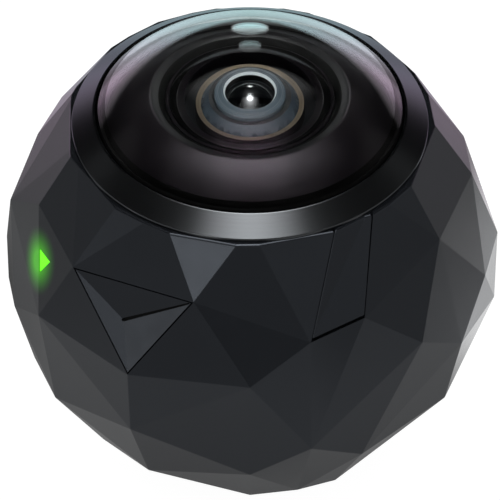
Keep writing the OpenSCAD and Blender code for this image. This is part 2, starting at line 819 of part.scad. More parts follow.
module lens_housing() {
    flank = [for (t = [0 : 0.125 : 1]) [
        dome_back_r - slip + (crest_r - dome_back_r + slip) * t,
        seat_z + (crest_z - seat_z) * t + flank_bow * sin(180 * t)
    ]];
    color("#17151a") difference() {
        rotate_extrude() polygon(concat(
            [
                [barrel_r + fit, boss_z],
                [boss_r, boss_z],
                [boss_r, ceiling_z],
                [mouth_r - slip, ceiling_z],
                [mouth_r - slip, shelf_z],
                [spigot_r, shelf_z],
                [spigot_r, flange_top_z],
                [glass_r, flange_top_z],
                [glass_r, seat_z]
            ],
            flank,
            [
                [crest_r - lip_w / 3, crest_z - lip_drop / 6],
                [crest_r - lip_w / 2, crest_z - lip_drop / 2],
                [second_seat_r, second_edge_z - lip_drop / 2],
                [second_seat_r, second_back_z],
                [barrel_r + fit, second_back_z]
            ]
        ));
        ring(boss_r + housing_wall, mouth_r - slip - housing_wall, ceiling_z - over, seat_z - housing_wall);
    }
}

module second_lens() {
    color("lightblue", 0.5) difference() {
        crown_lens(second_r, second_back_z, second_edge_z, second_crown);
        translate([0, 0, second_back_z + hollow_h - hollow_ball_r]) sphere(r = hollow_ball_r);
    }
}

module second_lens_ring() {
    color("black") ring(second_r + fit, second_seat_r - fit, second_back_z, second_edge_z - second_ring_drop);
}

// Barrel and inner lenses

module lens_barrel() {
    color("#2e333a") difference() {
        rotate_extrude() polygon([
            [0, tail_z],
            [tail_r, tail_z],
            [tail_r, barrel_flange_z],
            [barrel_flange_r, barrel_flange_z],
            [barrel_flange_r, boss_z],
            [barrel_r, boss_z],
            [barrel_r, shoulder_z],
            [nose_foot_r, shoulder_z],
            [nose_foot_r, shoulder_z + gold_ring_h],
            [nose_r, nose_z],
            [0, nose_z]
        ]);
        post(third_r + fit, third_z, nose_z + over);
        post(third_r - third_shelf_w, rear_top_z - over, third_z + over);
        post(rear_r + fit, tail_z - over, rear_top_z);
        corner_places() post(screw_pass_r, barrel_flange_z - over, boss_z + over);
    }
}

module barrel_ring() {
    color("#8a6a3c")
        ring(nose_foot_r + fit, nose_foot_r + gold_ring_wall, shoulder_z, shoulder_z + gold_ring_h);
}

module lens_retainer() {
    in_r = third_r + fit;
    color("#8d959b") rotate_extrude() polygon([
        [in_r, nose_z],
        [retainer_r, nose_z],
        [retainer_r, nose_z + retainer_h - retainer_chamfer],
        [retainer_r - retainer_chamfer, nose_z + retainer_h],
        [in_r + retainer_chamfer, nose_z + retainer_h + retainer_rise],
        [in_r, nose_z + retainer_h + retainer_rise - retainer_chamfer]
    ]);
}

module third_lens() {
    color("lightblue", 0.5) crown_lens(third_r, third_z, nose_z, third_crown);
}

module lens_spacer() {
    color("#303030") ring(rear_r - rear_rim_w, rear_r, stop_z + stop_t, rear_top_z);
}

module aperture_stop() {
    color("black") ring(stop_hole_r, rear_r, stop_z, stop_z + stop_t);
}

module rear_lens() {
    face_r = rear_r - rear_rim_w;
    hollow_r = (face_r * face_r + rear_hollow * rear_hollow) / (2 * rear_hollow);
    reach = hollow_r - rear_hollow;
    color("lightblue", 0.5) difference() {
        post(rear_r, rear_z, stop_z);
        for (z = [stop_z + reach, rear_z - reach]) translate([0, 0, z]) sphere(r = hollow_r);
    }
}

module lens_lock_ring() {
    color("#202020") ring(rear_r - rear_rim_w, rear_r, lock_z, rear_z);
}

module barrel_screws() {
    color("silver") corner_places()
        screw(screw_r, screw_head_r, screw_head_h, barrel_flange_t + screw_bite, boss_z);
}

// Sensor group

module sensor_mount() {
    color("#26282b") difference() {
        block(mount_side, mount_side, mount_z, barrel_flange_z);
        post(tail_r + slip, tail_z - loose, barrel_flange_z + over);
        block(sensor_w + loose * 2, sensor_d + loose * 2, mount_z - over, tail_z);
        corner_places() {
            post(screw_hole_r, mount_z - over, mount_z + screw_bite + loose);
            post(screw_hole_r, barrel_flange_z - screw_bite - loose, barrel_flange_z + over);
        }
    }
}

module sensor() {
    color("#3a3f55") block(sensor_w, sensor_d, mount_z, mount_z + sensor_t);
}

module ir_filter() {
    filter_z = mount_z + sensor_t;
    color("lightcyan", 0.6)
        block(sensor_w - filter_margin * 2, sensor_d - filter_margin * 2, filter_z, filter_z + filter_t);
}

module sensor_board() {
    color("darkgreen") difference() {
        post(sensor_board_r, sensor_board_z, mount_z);
        corner_places() post(screw_pass_r, sensor_board_z - over, mount_z + over);
    }
}

module heat_spreader() {
    color("lightgrey") difference() {
        block(mount_side, mount_side, spreader_z, sensor_board_z);
        corner_places() post(screw_pass_r, spreader_z - over, sensor_board_z + over);
    }
}

module sensor_screws() {
    shank_l = spreader_t + sensor_board_t + screw_bite;
    color("silver") corner_places() mirror([0, 0, 1])
        screw(screw_r, screw_head_r, screw_head_h, shank_l, -spreader_z);
}

module flex_connectors() {
    color("ivory") translate([0, connector_y, 0]) {
        block(flex_w + connector_margin * 2, connector_d, main_board_top, main_board_top + connector_h);
        block(flex_w + connector_margin * 2, connector_d, sensor_board_z - connector_h, sensor_board_z);
    }
}

module flex_cable() {
    color("#b5651d") translate([0, connector_y, 0])
        block(flex_w, flex_t, main_board_top + connector_h, sensor_board_z - connector_h);
}

// Main board, chassis and battery

module main_board() {
    color("darkgreen") difference() {
        post(main_board_r, main_board_z, main_board_top);
        board_screw_places() post(screw_pass_r, main_board_z - over, main_board_top + over);
    }
}

module board_screws() {
    color("silver") board_screw_places()
        screw(screw_r, screw_head_r, screw_head_h, main_board_t + standoff_h, main_board_top);
}

module at_can() {
    translate([0, can_y, main_board_top]) children();
}

module processor() {
    color("#1c1c20") at_can() translate([(processor_side - can_w) / 2 + can_t + loose, 0, 0])
        block(processor_side, processor_side, 0, chip_t);
}

module memory_chip() {
    color("#222226") at_can() translate([(can_w - memory_side) / 2 - can_t - loose, 0, 0])
        block(memory_side, memory_side, 0, chip_t);
}

module shield_can() {
    color("#b9bcc0") at_can() difference() {
        block(can_w, can_d, 0, can_h);
        block(can_w - can_t * 2, can_d - can_t * 2, -over, can_h - can_t);
    }
}

module wifi_antenna() {
    color("white") translate([0, antenna_t - main_board_r, 0])
        block(antenna_l, antenna_t, main_board_top, main_board_top + antenna_t);
}

module chassis() {
    color("#4a4d52") difference() {
        union() {
            ring(foot_r - foot_w, foot_r, floor_z, battery_z);
            for (s = quarter_signs) translate([s[0] * post_at, s[1] * post_y, 0])
                post(post_r, (floor_z + battery_z) / 2, deck_z + deck_t / 2);
            post(deck_r, deck_z, deck_z + deck_t);
            board_screw_places() post(screw_head_r + standoff_margin, deck_z + deck_t / 2, main_board_z);
        }
        chassis_screw_places() post(screw_pass_r, floor_z - over, battery_z + over);
        board_screw_places() post(screw_hole_r, deck_z - over, main_board_z + over);
    }
}

module chassis_screws() {
    color("silver") chassis_screw_places()
        screw(screw_r, screw_head_r, screw_head_h, battery_z - split_h - loose, battery_z);
}

module battery() {
    color("#3b5f8a") hull() for (s = quarter_signs)
        translate([s[0] * (battery_l / 2 - battery_round), s[1] * (battery_w / 2 - battery_round), 0])
            post(battery_round, battery_z, battery_z + battery_h, $fn = 32);
}

// Vibration motor, its axis along X

module at_motor(x) {
    translate([motor_x + x, motor_y, motor_z]) rotate([0, 90, 0]) children();
}

module motor_bracket() {
    w = (motor_r + bracket_wall) * 2;
    low = motor_z - motor_r - bracket_wall;
    color("#5a5d62") difference() {
        translate([motor_x + (motor_l - bracket_l) / 2, motor_y - w / 2, low])
            cube([bracket_l, w, deck_z - low]);
        at_motor(-over) cylinder(r = motor_r + fit, h = motor_l + over * 2);
    }
}

module vibration_motor() {
    color("#c4c6c8") at_motor(0) difference() {
        cylinder(r = motor_r, h = motor_l);
        translate([0, 0, motor_l / 2]) cylinder(r = shaft_r + fit, h = motor_l);
    }
}

module motor_weight() {
    start = motor_l + slip + slip;
    color("#8f9194") {
        at_motor(motor_l / 2 + slip) cylinder(r = shaft_r, h = start - motor_l / 2 - slip + weight_l);
        at_motor(start) difference() {
            cylinder(r = weight_r, h = weight_l);
            translate([-weight_r, shaft_r, -over]) cube([weight_r * 2, weight_r, weight_l + over * 2]);
        }
    }
}

// Button

module button_cap() {
    tops = [for (p = button_face) [p[0], p[1], 0]];
    feet = [for (p = button_face) [p[0], p[1], -button_t]];
    dish = [dish_point[0], dish_point[1], -dish_depth];
    crease_end = dish + (tops[1] - dish) * crease_run;
    color("#2c2d31") at_button() {
        difference() {
            polyhedron(
                points = concat(tops, [dish], feet),
                faces = [
                    [0, 1, 3], [1, 2, 3], [2, 0, 3],
                    [1, 0, 4, 5], [2, 1, 5, 6], [0, 2, 6, 4], [6, 5, 4]
                ]
            );
            hull() {
                translate(dish) cylinder(r = crease_r, h = dish_depth, center = true, $fn = 32);
                translate(crease_end) cylinder(r = crease_r / 2, h = dish_depth, center = true, $fn = 32);
            }
        }
        difference() {
            post(stem_r, stem_end_z, -button_t + fit);
            ring(stem_r - clip_groove, stem_r + over, clip_z, clip_z + clip_t);
        }
    }
}

module button_clip() {
    color("silver") at_button() ring(stem_r - clip_groove + fit, stem_r + clip_w, clip_z, clip_z + clip_t);
}

module switch_plunger() {
    color("#b03a2e") at_button() post(plunger_r, switch_z - button_travel, stem_end_z);
}

module button_switch() {
    color("#1e1e20") at_button() difference() {
        block(switch_side, switch_side, button_board_z, switch_z);
        post(plunger_r + slip, switch_z - button_travel * 2 - slip, switch_z + over);
    }
}

module button_seal() {
    color("#101010") at_button() ring(stem_r + slip, button_seal_r, pocket_z - button_seal_t, pocket_z);
}

module button_board() {
    color("darkgreen") at_button() difference() {
        post(cup_r, button_board_z - button_board_t, button_board_z);
        button_screw_places()
            post(tiny_screw_r + slip, button_board_z - button_board_t - over, button_board_z + over);
    }
}

module button_screws() {
    shank_l = button_board_t + tiny_bite;
    color("silver") at_button() button_screw_places() mirror([0, 0, 1])
        screw(tiny_screw_r, tiny_head_r, tiny_head_h, shank_l, button_board_t - button_board_z);
}

// Status light

module light_pipe() {
    color("#6aff2a") at_light() {
        translate([0, 0, -window_l]) linear_extrude(window_l) window_outline(0);
        translate([window_centre, 0, 0]) post(pipe_foot_r, pipe_end_z, -window_l);
    }
}

module status_led() {
    color("white") at_light() translate([window_centre, 0, 0])
        block(led_side, led_side, led_board_z, pipe_end_z);
}

module led_board() {
    color("darkgreen") at_light() translate([window_centre, 0, 0])
        post(light_boss_r, led_board_z - led_board_t, led_board_z);
}

// Microphone

module mic_cover() {
    tops = [for (i = [0 : 3]) [mic_outline[i][0], mic_outline[i][1], mic_heights[i]] * mic_shrink];
    feet = [for (p = tops) [p[0], p[1], mic_floor_z]];
    color("#2a2b2f") difference() {
        at_mic() polyhedron(
            points = concat(tops, feet),
            faces = [
                [0, 1, 3], [1, 2, 3],
                [1, 0, 4, 5], [2, 1, 5, 6], [3, 2, 6, 7], [0, 3, 7, 4], [7, 6, 5, 4]
            ]
        );
        post(ball_d, ledge_z, ledge_z + ball_r);
        post(mic_trim_r + fit, floor_z, ledge_z + over);
    }
}

module mic_membrane() {
    color("#e8e8e8") at_mic() translate(mic_boss_at)
        post(mic_cavity_r - fit, mic_web_z - membrane_t, mic_web_z);
}

module microphone() {
    color("#a8a8a8") at_mic() translate(mic_boss_at)
        block(microphone_w, microphone_d, mic_board_z, mic_web_z - membrane_t);
}

module mic_board() {
    color("darkgreen") at_mic() translate(mic_boss_at)
        post(mic_boss_r, mic_board_z - mic_board_t, mic_board_z);
}

main_shell();
base_cap();
base_seal();
base_screws();
tripod_bush();
contact_board();
charging_contacts();
bezel_ring();
dome_lens();
dome_seal();
lens_housing();
second_lens();
second_lens_ring();
lens_barrel();
barrel_ring();
lens_retainer();
third_lens();
lens_spacer();
aperture_stop();
rear_lens();
lens_lock_ring();
barrel_screws();
sensor_mount();
ir_filter();
sensor();
sensor_board();
heat_spreader();
sensor_screws();
flex_connectors();
flex_cable();
main_board();
board_screws();
processor();
memory_chip();
shield_can();
wifi_antenna();
chassis();
chassis_screws();
battery();
motor_bracket();
vibration_motor();
motor_weight();
button_cap();
button_clip();
switch_plunger();
button_switch();
button_seal();
button_board();
button_screws();
light_pipe();
status_led();
led_board();
mic_cover();
mic_membrane();
microphone();
mic_board();
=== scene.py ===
"""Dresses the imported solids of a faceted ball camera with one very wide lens."""

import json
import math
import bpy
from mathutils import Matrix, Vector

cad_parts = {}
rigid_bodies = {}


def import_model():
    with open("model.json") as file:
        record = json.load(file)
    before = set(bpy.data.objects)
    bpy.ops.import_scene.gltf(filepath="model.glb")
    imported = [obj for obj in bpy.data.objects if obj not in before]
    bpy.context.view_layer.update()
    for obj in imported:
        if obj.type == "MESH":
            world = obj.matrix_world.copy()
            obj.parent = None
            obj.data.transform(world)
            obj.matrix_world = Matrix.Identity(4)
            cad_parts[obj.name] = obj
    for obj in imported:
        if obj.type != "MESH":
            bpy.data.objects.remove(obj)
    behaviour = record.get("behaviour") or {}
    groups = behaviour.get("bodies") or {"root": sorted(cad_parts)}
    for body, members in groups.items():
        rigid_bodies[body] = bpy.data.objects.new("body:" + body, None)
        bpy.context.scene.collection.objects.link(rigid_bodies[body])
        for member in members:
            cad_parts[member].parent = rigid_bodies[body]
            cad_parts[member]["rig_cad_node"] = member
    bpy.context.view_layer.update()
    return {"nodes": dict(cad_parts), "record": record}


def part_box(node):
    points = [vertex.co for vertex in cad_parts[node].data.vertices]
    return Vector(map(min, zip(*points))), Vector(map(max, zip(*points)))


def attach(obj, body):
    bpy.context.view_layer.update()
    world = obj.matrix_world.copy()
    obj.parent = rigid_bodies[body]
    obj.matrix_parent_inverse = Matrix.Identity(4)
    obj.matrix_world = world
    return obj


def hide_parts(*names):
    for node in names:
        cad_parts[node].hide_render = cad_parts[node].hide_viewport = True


bl_info = {
    "name": "Faceted Ball Camera",
    "version": (1, 0, 0),
    "blender": (4, 5, 0),
    "location": "View3D > Sidebar > Ball Camera",
    "description": "Glass, finishes and studio for a faceted ball camera with one very wide lens",
    "category": "Object",
}

import bmesh
import bpy
from bpy.props import FloatProperty, FloatVectorProperty, IntProperty, PointerProperty
from mathutils import Vector

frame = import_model()

MM = 0.001
NODES = frame["nodes"]
BALL_CENTRE = Vector((0, 0, 27.5)) * MM
BALL_R = 30.5


def reach(node):
    """Radius of a round node, in millimetres."""
    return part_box(node)[1].x / MM


def low(node):
    """Height of a node's underside, in millimetres."""
    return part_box(node)[0].z / MM


def top(node):
    """Height of a node's top, in millimetres."""
    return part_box(node)[1].z / MM


# Lens plan, radii and heights in millimetres, from the solids where their boxes give them
FIT = 0.05
GLASS_R = reach("dome_lens")
GLASS_BACK_Z = low("dome_lens")
GLASS_EDGE_Z = GLASS_BACK_Z + 1.3
DOME_R = 26.5
DOME_T = 0.8
DOME_CENTRE_Z = GLASS_EDGE_Z - math.sqrt(DOME_R**2 - GLASS_R**2)
DOME_IN_R = DOME_R - DOME_T
DOME_FOOT_R = GLASS_R - 1.2
LEDGE_Z = top("main_shell")
BEZEL_R = reach("bezel_ring")
BEZEL_LIP_Z = top("bezel_ring")
BEZEL_RIM_H = 0.35
BEZEL_LIP_W = 0.45
BEZEL_CHAMFER = 0.2
SPIGOT_R = reach("lens_housing")
SPIGOT_IN_R = SPIGOT_R - 1.05
FLANGE_TOP_Z = low("bezel_ring")
SHELF_Z = FLANGE_TOP_Z - 1.0
CEILING_Z = 43.7
POCKET_TOP_Z = 48.1
SKIRT_T = 1.2
MOUTH_R = 17.46
SEAT_Z = GLASS_BACK_Z - 0.4
FLANK_FOOT_R = 17.52
FLANK_BULGE = 0.35
FLANK_STEPS = 24
CREST_R = 12.22
CREST_Z = top("lens_housing")
SECOND_R = reach("second_lens")
SECOND_SEAT_R = reach("second_lens_ring") + FIT
SECOND_BACK_Z = low("second_lens")
SECOND_EDGE_Z = CREST_Z - 0.4
SECOND_TOP_Z = top("second_lens")
SECOND_HOLLOW_R = 8.2
SECOND_T = 3.5
BARREL_R = 7.2
BOSS_R = 8.35
BOSS_Z = low("lens_housing")
SHOULDER_Z = low("barrel_ring")
GOLD_R = reach("barrel_ring")
GOLD_IN_R = GOLD_R - 0.7
GOLD_TOP_Z = top("barrel_ring")
NOSE_Z = low("lens_retainer")
RETAINER_R = reach("lens_retainer")
RETAINER_TOP_Z = top("lens_retainer")
RETAINER_EDGE_Z = RETAINER_TOP_Z - 0.2
RETAINER_BREAK = 0.12
RETAINER_CHAMFER_W = 0.2
RETAINER_CHAMFER_H = 0.17
THIRD_R = reach("third_lens")
THIRD_Z = low("third_lens")
THIRD_TOP_Z = top("third_lens")

# Steps inwards and down from the crest that round the lip, and the lip's foot below the lens's edge
LIP_STEPS = ((0.25, 0.02), (0.6, 0.1), (0.95, 0.23), (1.3, 0.43), (1.6, 0.68))
LIP_FOOT = 0.45

# Tripod bush with a quarter-inch thread of twenty turns to the inch, in millimetres
BUSH_R = 5.0
BUSH_H = top("tripod_bush")
BUSH_FLANGE_R = reach("tripod_bush")
BUSH_FLANGE_Z = 2.0
BUSH_FLANGE_T = 2.0
BUSH_CHAMFER = 0.2
SOCKET_DEPTH = 6.5
SOCKET_CHAMFER_W = 0.38
SOCKET_CHAMFER_H = 0.45
THREAD_R = 3.12
THREAD_IN_R = 2.55
THREAD_PITCH = 1.27
THREAD_START_Z = 0.32
THREAD_TURNS = 4
# How far the ridge's foot runs into the bush, and half its height as a share of the pitch
THREAD_ROOT = 0.15
THREAD_HALF = 0.42


def ball_point(azimuth, elevation, radius=BALL_R):
    """A point round the ball, in degrees and millimetres. Azimuths run from -Y towards +X."""
    a, e = math.radians(azimuth), math.radians(elevation)
    way = Vector((math.sin(a) * math.cos(e), -math.cos(a) * math.cos(e), math.sin(e)))
    return BALL_CENTRE + way * radius * MM


# Corners of the button, and the plane that they lie in
BUTTON_CORNERS = (ball_point(-52, 24), ball_point(-15, 28), ball_point(-30, 5))
BUTTON_SIDES = [corner - BUTTON_CORNERS[0] for corner in BUTTON_CORNERS]
BUTTON_WAY = BUTTON_SIDES[1].cross(BUTTON_SIDES[2]).normalized()
if BUTTON_WAY.dot(BUTTON_CORNERS[0] - BALL_CENTRE) < 0:
    BUTTON_WAY = -BUTTON_WAY
DISH_WAY = (ball_point(-35, 17) - BALL_CENTRE).normalized()
BUTTON_FAR = BUTTON_WAY.dot(BUTTON_CORNERS[0] - BALL_CENTRE)
DISH_POINT = BALL_CENTRE + DISH_WAY * BUTTON_FAR / BUTTON_WAY.dot(DISH_WAY)


# Small tools


def deselect():
    """Leaves nothing selected, because an operator acts on all that is."""
    if bpy.context.object and bpy.context.object.mode != "OBJECT":
        bpy.ops.object.mode_set(mode="OBJECT")
    bpy.ops.object.select_all(action="DESELECT")


def take(obj):
    """Makes one object the selected and active one."""
    deselect()
    obj.select_set(True)
    bpy.context.view_layer.objects.active = obj


def edit(obj):
    """Opens one object in edit mode with nothing selected."""
    take(obj)
    bpy.ops.object.mode_set(mode="EDIT")
    bpy.ops.mesh.select_mode(type="VERT")
    bpy.ops.mesh.select_all(action="DESELECT")


def done():
    """Closes edit mode."""
    bpy.ops.object.mode_set(mode="OBJECT")


def apply(obj, name):
    """Applies one modifier."""
    take(obj)
    bpy.ops.object.modifier_apply(modifier=name)


def rounded(obj, width, angle, segments=2):
    """Rounds the edges that turn by more than an angle, in degrees, by a width in millimetres."""
    bevel = obj.modifiers.new("edges", "BEVEL")
    bevel.width = width * MM
    bevel.segments = segments
    bevel.limit_method = "ANGLE"
    bevel.angle_limit = math.radians(angle)
    bevel.use_clamp_overlap = True
    apply(obj, bevel.name)


def smooth(obj, angle=30):
    """Shades an object smooth, apart from the edges that turn by more than an angle."""
    take(obj)
    bpy.ops.object.shade_smooth_by_angle(angle=math.radians(angle))


def arc(centre_z, radius, r_from, r_to, steps):
    """Points of a profile along a sphere's upper half, from one radius to another."""
    points = []
    for i in range(steps + 1):
        r = r_from + (r_to - r_from) * i / steps
        points.append((r, centre_z + math.sqrt(max(radius * radius - r * r, 0))))
    return points


def cap(edge_r, edge_z, rise, r_from, r_to, steps):
    """Points along a spherical cap that meets edge_r at edge_z and rises by rise on the axis."""
    radius = (edge_r * edge_r + rise * rise) / (2 * rise)
    return arc(edge_z + rise - radius, radius, r_from, r_to, steps)


def whole():
    """Selects all of the mesh that is open in edit mode."""
    bpy.ops.mesh.select_all(action="SELECT")


def weld():
    """Merges the selected points that lie on each other."""
    bpy.ops.mesh.remove_doubles(threshold=MM / 500)


def close():
    """Turns all faces outwards and closes edit mode."""
    whole()
    bpy.ops.mesh.normals_make_consistent(inside=False)
    done()


def pick(obj, kind, wanted):
    """Opens an object in edit mode with the edges or faces selected that a test picks."""
    edit(obj)
    bpy.ops.mesh.select_mode(type=kind)
    mesh = bmesh.from_edit_mesh(obj.data)
    for item in mesh.edges if kind == "EDGE" else mesh.faces:
        item.select_set(wanted(item))
    bmesh.update_edit_mesh(obj.data)


def outline(name, profile):
    """Draws a chain of radii and heights in millimetres, left open in edit mode and selected."""
    deselect()
    start = Vector((profile[0][0], 0, profile[0][1])) * MM
    bpy.ops.mesh.primitive_circle_add(vertices=3, radius=MM / 10, location=(0, 0, 0))
    obj = bpy.context.object
    obj.name = name
    obj.data.name = name
    edit(obj)
    whole()
    bpy.ops.mesh.merge(type="CENTER")
    bpy.ops.transform.translate(value=start)
    for (r_a, z_a), (r_b, z_b) in zip(profile, profile[1:]):
        step = ((r_b - r_a) * MM, 0, (z_b - z_a) * MM)
        bpy.ops.mesh.extrude_region_move(TRANSFORM_OT_translate={"value": step})
    whole()
    return obj


def lathe(name, profile, steps, angle=30):
    """Turns a profile of radii and heights in millimetres round the lens axis."""
    obj = outline(name, profile)
    bpy.ops.mesh.spin(steps=steps, angle=math.tau, center=(0, 0, 0), axis=(0, 0, 1))
    whole()
    weld()
    close()
    smooth(obj, angle)
    return obj


def thread_ridge(name, inner_r, outer_r, start_z, pitch, turns):
    """Winds the ridge of an inside thread, in millimetres, from a three-cornered profile."""
    half = pitch * THREAD_HALF
    corners = [(outer_r, start_z), (inner_r, start_z + half), (outer_r, start_z + half + half)]
    obj = outline(name, corners + corners[:1])
    weld()
    done()
    wind = obj.modifiers.new("wind", "SCREW")
    wind.screw_offset = pitch * MM
    wind.iterations = turns
    wind.steps = 64
    wind.render_steps = 64
    apply(obj, wind.name)
    edit(obj)
    whole()
    bpy.ops.mesh.fill_holes(sides=3)
    close()
    return obj


def join(first, second):
    """Joins a second object into the first."""
    take(first)
    second.select_set(True)
    bpy.ops.object.join()
    edit(first)
    close()


def node_copy(node, name, flatten=True):
    """Copies a node's mesh into a new piece, merged and, if asked, freed of its flat triangle edges."""
    mesh = NODES[node].data.copy()
    obj = bpy.data.objects.new(name, mesh)
    bpy.context.scene.collection.objects.link(obj)
    edit(obj)
    whole()
    weld()
    if flatten:
        bpy.ops.mesh.dissolve_limited(angle_limit=math.radians(0.5))
    bpy.ops.mesh.select_all(action="DESELECT")
    done()
    return obj


def bevel_where(obj, wanted, width, segments=2):
    """Bevels the edges between two faces that a test picks, by a width in millimetres."""
    pick(obj, "EDGE", lambda edge: len(edge.link_faces) == 2 and wanted(edge))
    bpy.ops.mesh.bevel(offset=width * MM, segments=segments, profile=0.5, clamp_overlap=True)
    done()


def dress(obj, slot):
    """Gives a piece the material of one of the record's slots."""
    obj.data.materials.clear()
    obj.data.materials.append(finish(slot))


def hand_over(obj, slot, body, *nodes):
    """Dresses a new piece, puts it on its body and lets it stand for nodes."""
    dress(obj, slot)
    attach(obj, body)
    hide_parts(*nodes)


# Node groups and finishes


class Tree:
    """A node tree whose nodes are added and linked in one call."""

    def __init__(self, tree):
        self.tree = tree

    def add(self, kind, inputs=None, **settings):
        node = self.tree.nodes.new(kind)
        for key, value in settings.items():
            setattr(node, key, value)
        for key, value in (inputs or {}).items():
            self.put(node.inputs[key], value)
        return node

    def put(self, socket, value):
        if isinstance(value, bpy.types.NodeSocket):
            self.tree.links.new(value, socket)
        else:
            socket.default_value = value

    def noise(self, vector, scale, detail=2.0):
        inputs = {"Vector": vector, "Scale": scale, "Detail": detail}
        return self.add("ShaderNodeTexNoise", inputs).outputs["Fac"]

    def span(self, value, low, high, to_low, to_high):
        inputs = {"Value": value, "From Min": low, "From Max": high, "To Min": to_low, "To Max": to_high}
        return self.add("ShaderNodeMapRange", inputs).outputs["Result"]

    def up(self, value, low, high):
        """Rises from 0 to 1 between two values."""
        return self.span(value, low, high, 0.0, 1.0)

    def down(self, value, low, high):
        """Falls from 1 to 0 between two values."""
        return self.span(value, low, high, 1.0, 0.0)

    def math(self, operation, a, b=0.0):
        return self.add("ShaderNodeMath", {0: a, 1: b}, operation=operation).outputs[0]

    def times(self, first, *others):
        for other in others:
            first = self.math("MULTIPLY", first, other)
        return first

    def plus(self, first, *others):
        for other in others:
            first = self.math("ADD", first, other)
        return first

    def rest(self, share):
        """What a share leaves of 1."""
        return self.math("SUBTRACT", 1.0, share)

    def vector(self, operation, a, b=(0, 0, 0), output="Value"):
        return self.add("ShaderNodeVectorMath", {0: a, 1: b}, operation=operation).outputs[output]

    def axial(self, place):
        """Distance from the lens axis."""
        return self.vector("LENGTH", self.vector("MULTIPLY", place, (1, 1, 0), "Vector"))

    def mix(self, factor, a, b):
        return self.add("ShaderNodeMix", {0: factor, 6: a, 7: b}, data_type="RGBA").outputs[2]

    def place(self):
        return self.add("ShaderNodeTexCoord").outputs["Object"]


# Distances from the window between which the painted glow on the body fades, in metres
PAINTED_GLOW_REACH = (0.0012, 0.0046)
COLOUR, NUMBER = "NodeSocketColor", "NodeSocketFloat"
SURFACE_IN = {
    "Colour": COLOUR, "Second Colour": COLOUR, "Scale": NUMBER, "Roughness": NUMBER, "Spread": NUMBER,
}
SURFACE_OUT = {"Colour": COLOUR, "Roughness": NUMBER, "Height": NUMBER}


def group(build):
    """Makes a surface group once, named after the function that fills it, and returns it."""
    name = build.__name__.replace("_", " ").title()
    if name in bpy.data.node_groups:
        return bpy.data.node_groups[name]
    made = bpy.data.node_groups.new(name, "ShaderNodeTree")
    for side, sockets in (("INPUT", SURFACE_IN), ("OUTPUT", SURFACE_OUT)):
        for label, kind in sockets.items():
            made.interface.new_socket(label, in_out=side, socket_type=kind)
    tree = Tree(made)
    source = tree.add("NodeGroupInput").outputs
    sink = tree.add("NodeGroupOutput").inputs
    for label, socket in build(tree, source).items():
        tree.put(sink[label], socket)
    return made


def worn(t, source, blend, rub, height):
    """Outputs of a group whose colours blend and whose roughness spreads both ways."""
    low = t.math("SUBTRACT", source["Roughness"], source["Spread"])
    high = t.plus(source["Roughness"], source["Spread"])
    return {
        "Colour": t.mix(blend, source["Colour"], source["Second Colour"]),
        "Roughness": t.span(rub, 0.3, 0.7, low, high),
        "Height": height,
    }


def masked(t, source, mask, ground, raised):
    """Outputs of a group with two parts, of which the raised one is smoother."""
    low = t.math("SUBTRACT", source["Roughness"], source["Spread"])
    return {
        "Colour": t.mix(mask, source[ground], source[raised]),
        "Roughness": t.span(mask, 0.0, 1.0, source["Roughness"], low),
        "Height": mask,
    }


def moulded_grain(t, source):
    """Fine moulded grain over faint, broad clouds of colour."""
    place = t.place()
    fine = t.noise(place, source["Scale"], 3.0)
    broad = t.noise(place, 90.0, 4.0)
    rub = t.noise(place, 420.0, 3.0)
    return worn(t, source, t.up(broad, 0.3, 0.7), rub, fine)


def turned_lines(t, source):
    """Concentric lathe lines round the lens axis."""
    inputs = {"W": t.axial(t.place()), "Scale": source["Scale"], "Detail": 3.0}
    lines = t.add("ShaderNodeTexNoise", inputs, noise_dimensions="1D").outputs["Fac"]
    return worn(t, source, t.up(lines, 0.35, 0.65), lines, lines)


def brushed_strokes(t, source):
    """Long fine strokes along X, as on rolled sheet."""
    inputs = {"Vector": t.place(), "Scale": (0.02, 1.0, 1.0)}
    drawn = t.add("ShaderNodeMapping", inputs).outputs[0]
    strokes = t.noise(drawn, source["Scale"], 4.0)
    return worn(t, source, t.up(strokes, 0.3, 0.7), strokes, strokes)


def board_tracks(t, source):
    """Copper tracks and pads under solder mask."""
    place = t.place()
    inputs = {"Vector": place, "Scale": source["Scale"]}
    pads = t.add("ShaderNodeTexVoronoi", inputs, distance="MANHATTAN").outputs["Distance"]
    inputs = {"Vector": place, "Scale": t.times(source["Scale"], 0.6)}
    wander = t.add("ShaderNodeTexBrick", inputs).outputs["Fac"]
    mask = t.math("MAXIMUM", t.up(pads, 0.24, 0.2), wander)
    return masked(t, source, mask, "Colour", "Second Colour")


def woven_threads(t, source):
    """Crossed fine threads."""
    inputs = {"Vector": t.place(), "Scale": source["Scale"]}
    threads = []
    for way in ("X", "Y"):
        threads.append(t.add("ShaderNodeTexWave", inputs, bands_direction=way).outputs["Fac"])
    return masked(t, source, t.math("MAXIMUM", *threads), "Second Colour", "Colour")


def new_material(name):
    """A new material that has nodes."""
    material = bpy.data.materials.new(name)
    material.use_nodes = True
    return material


def parts(material):
    """A material's node tree and its shader."""
    return Tree(material.node_tree), material.node_tree.nodes["Principled BSDF"]


def preset(shader, values):
    """Sets a shader's inputs to fixed values."""
    for label, value in values.items():
        shader.inputs[label].default_value = value


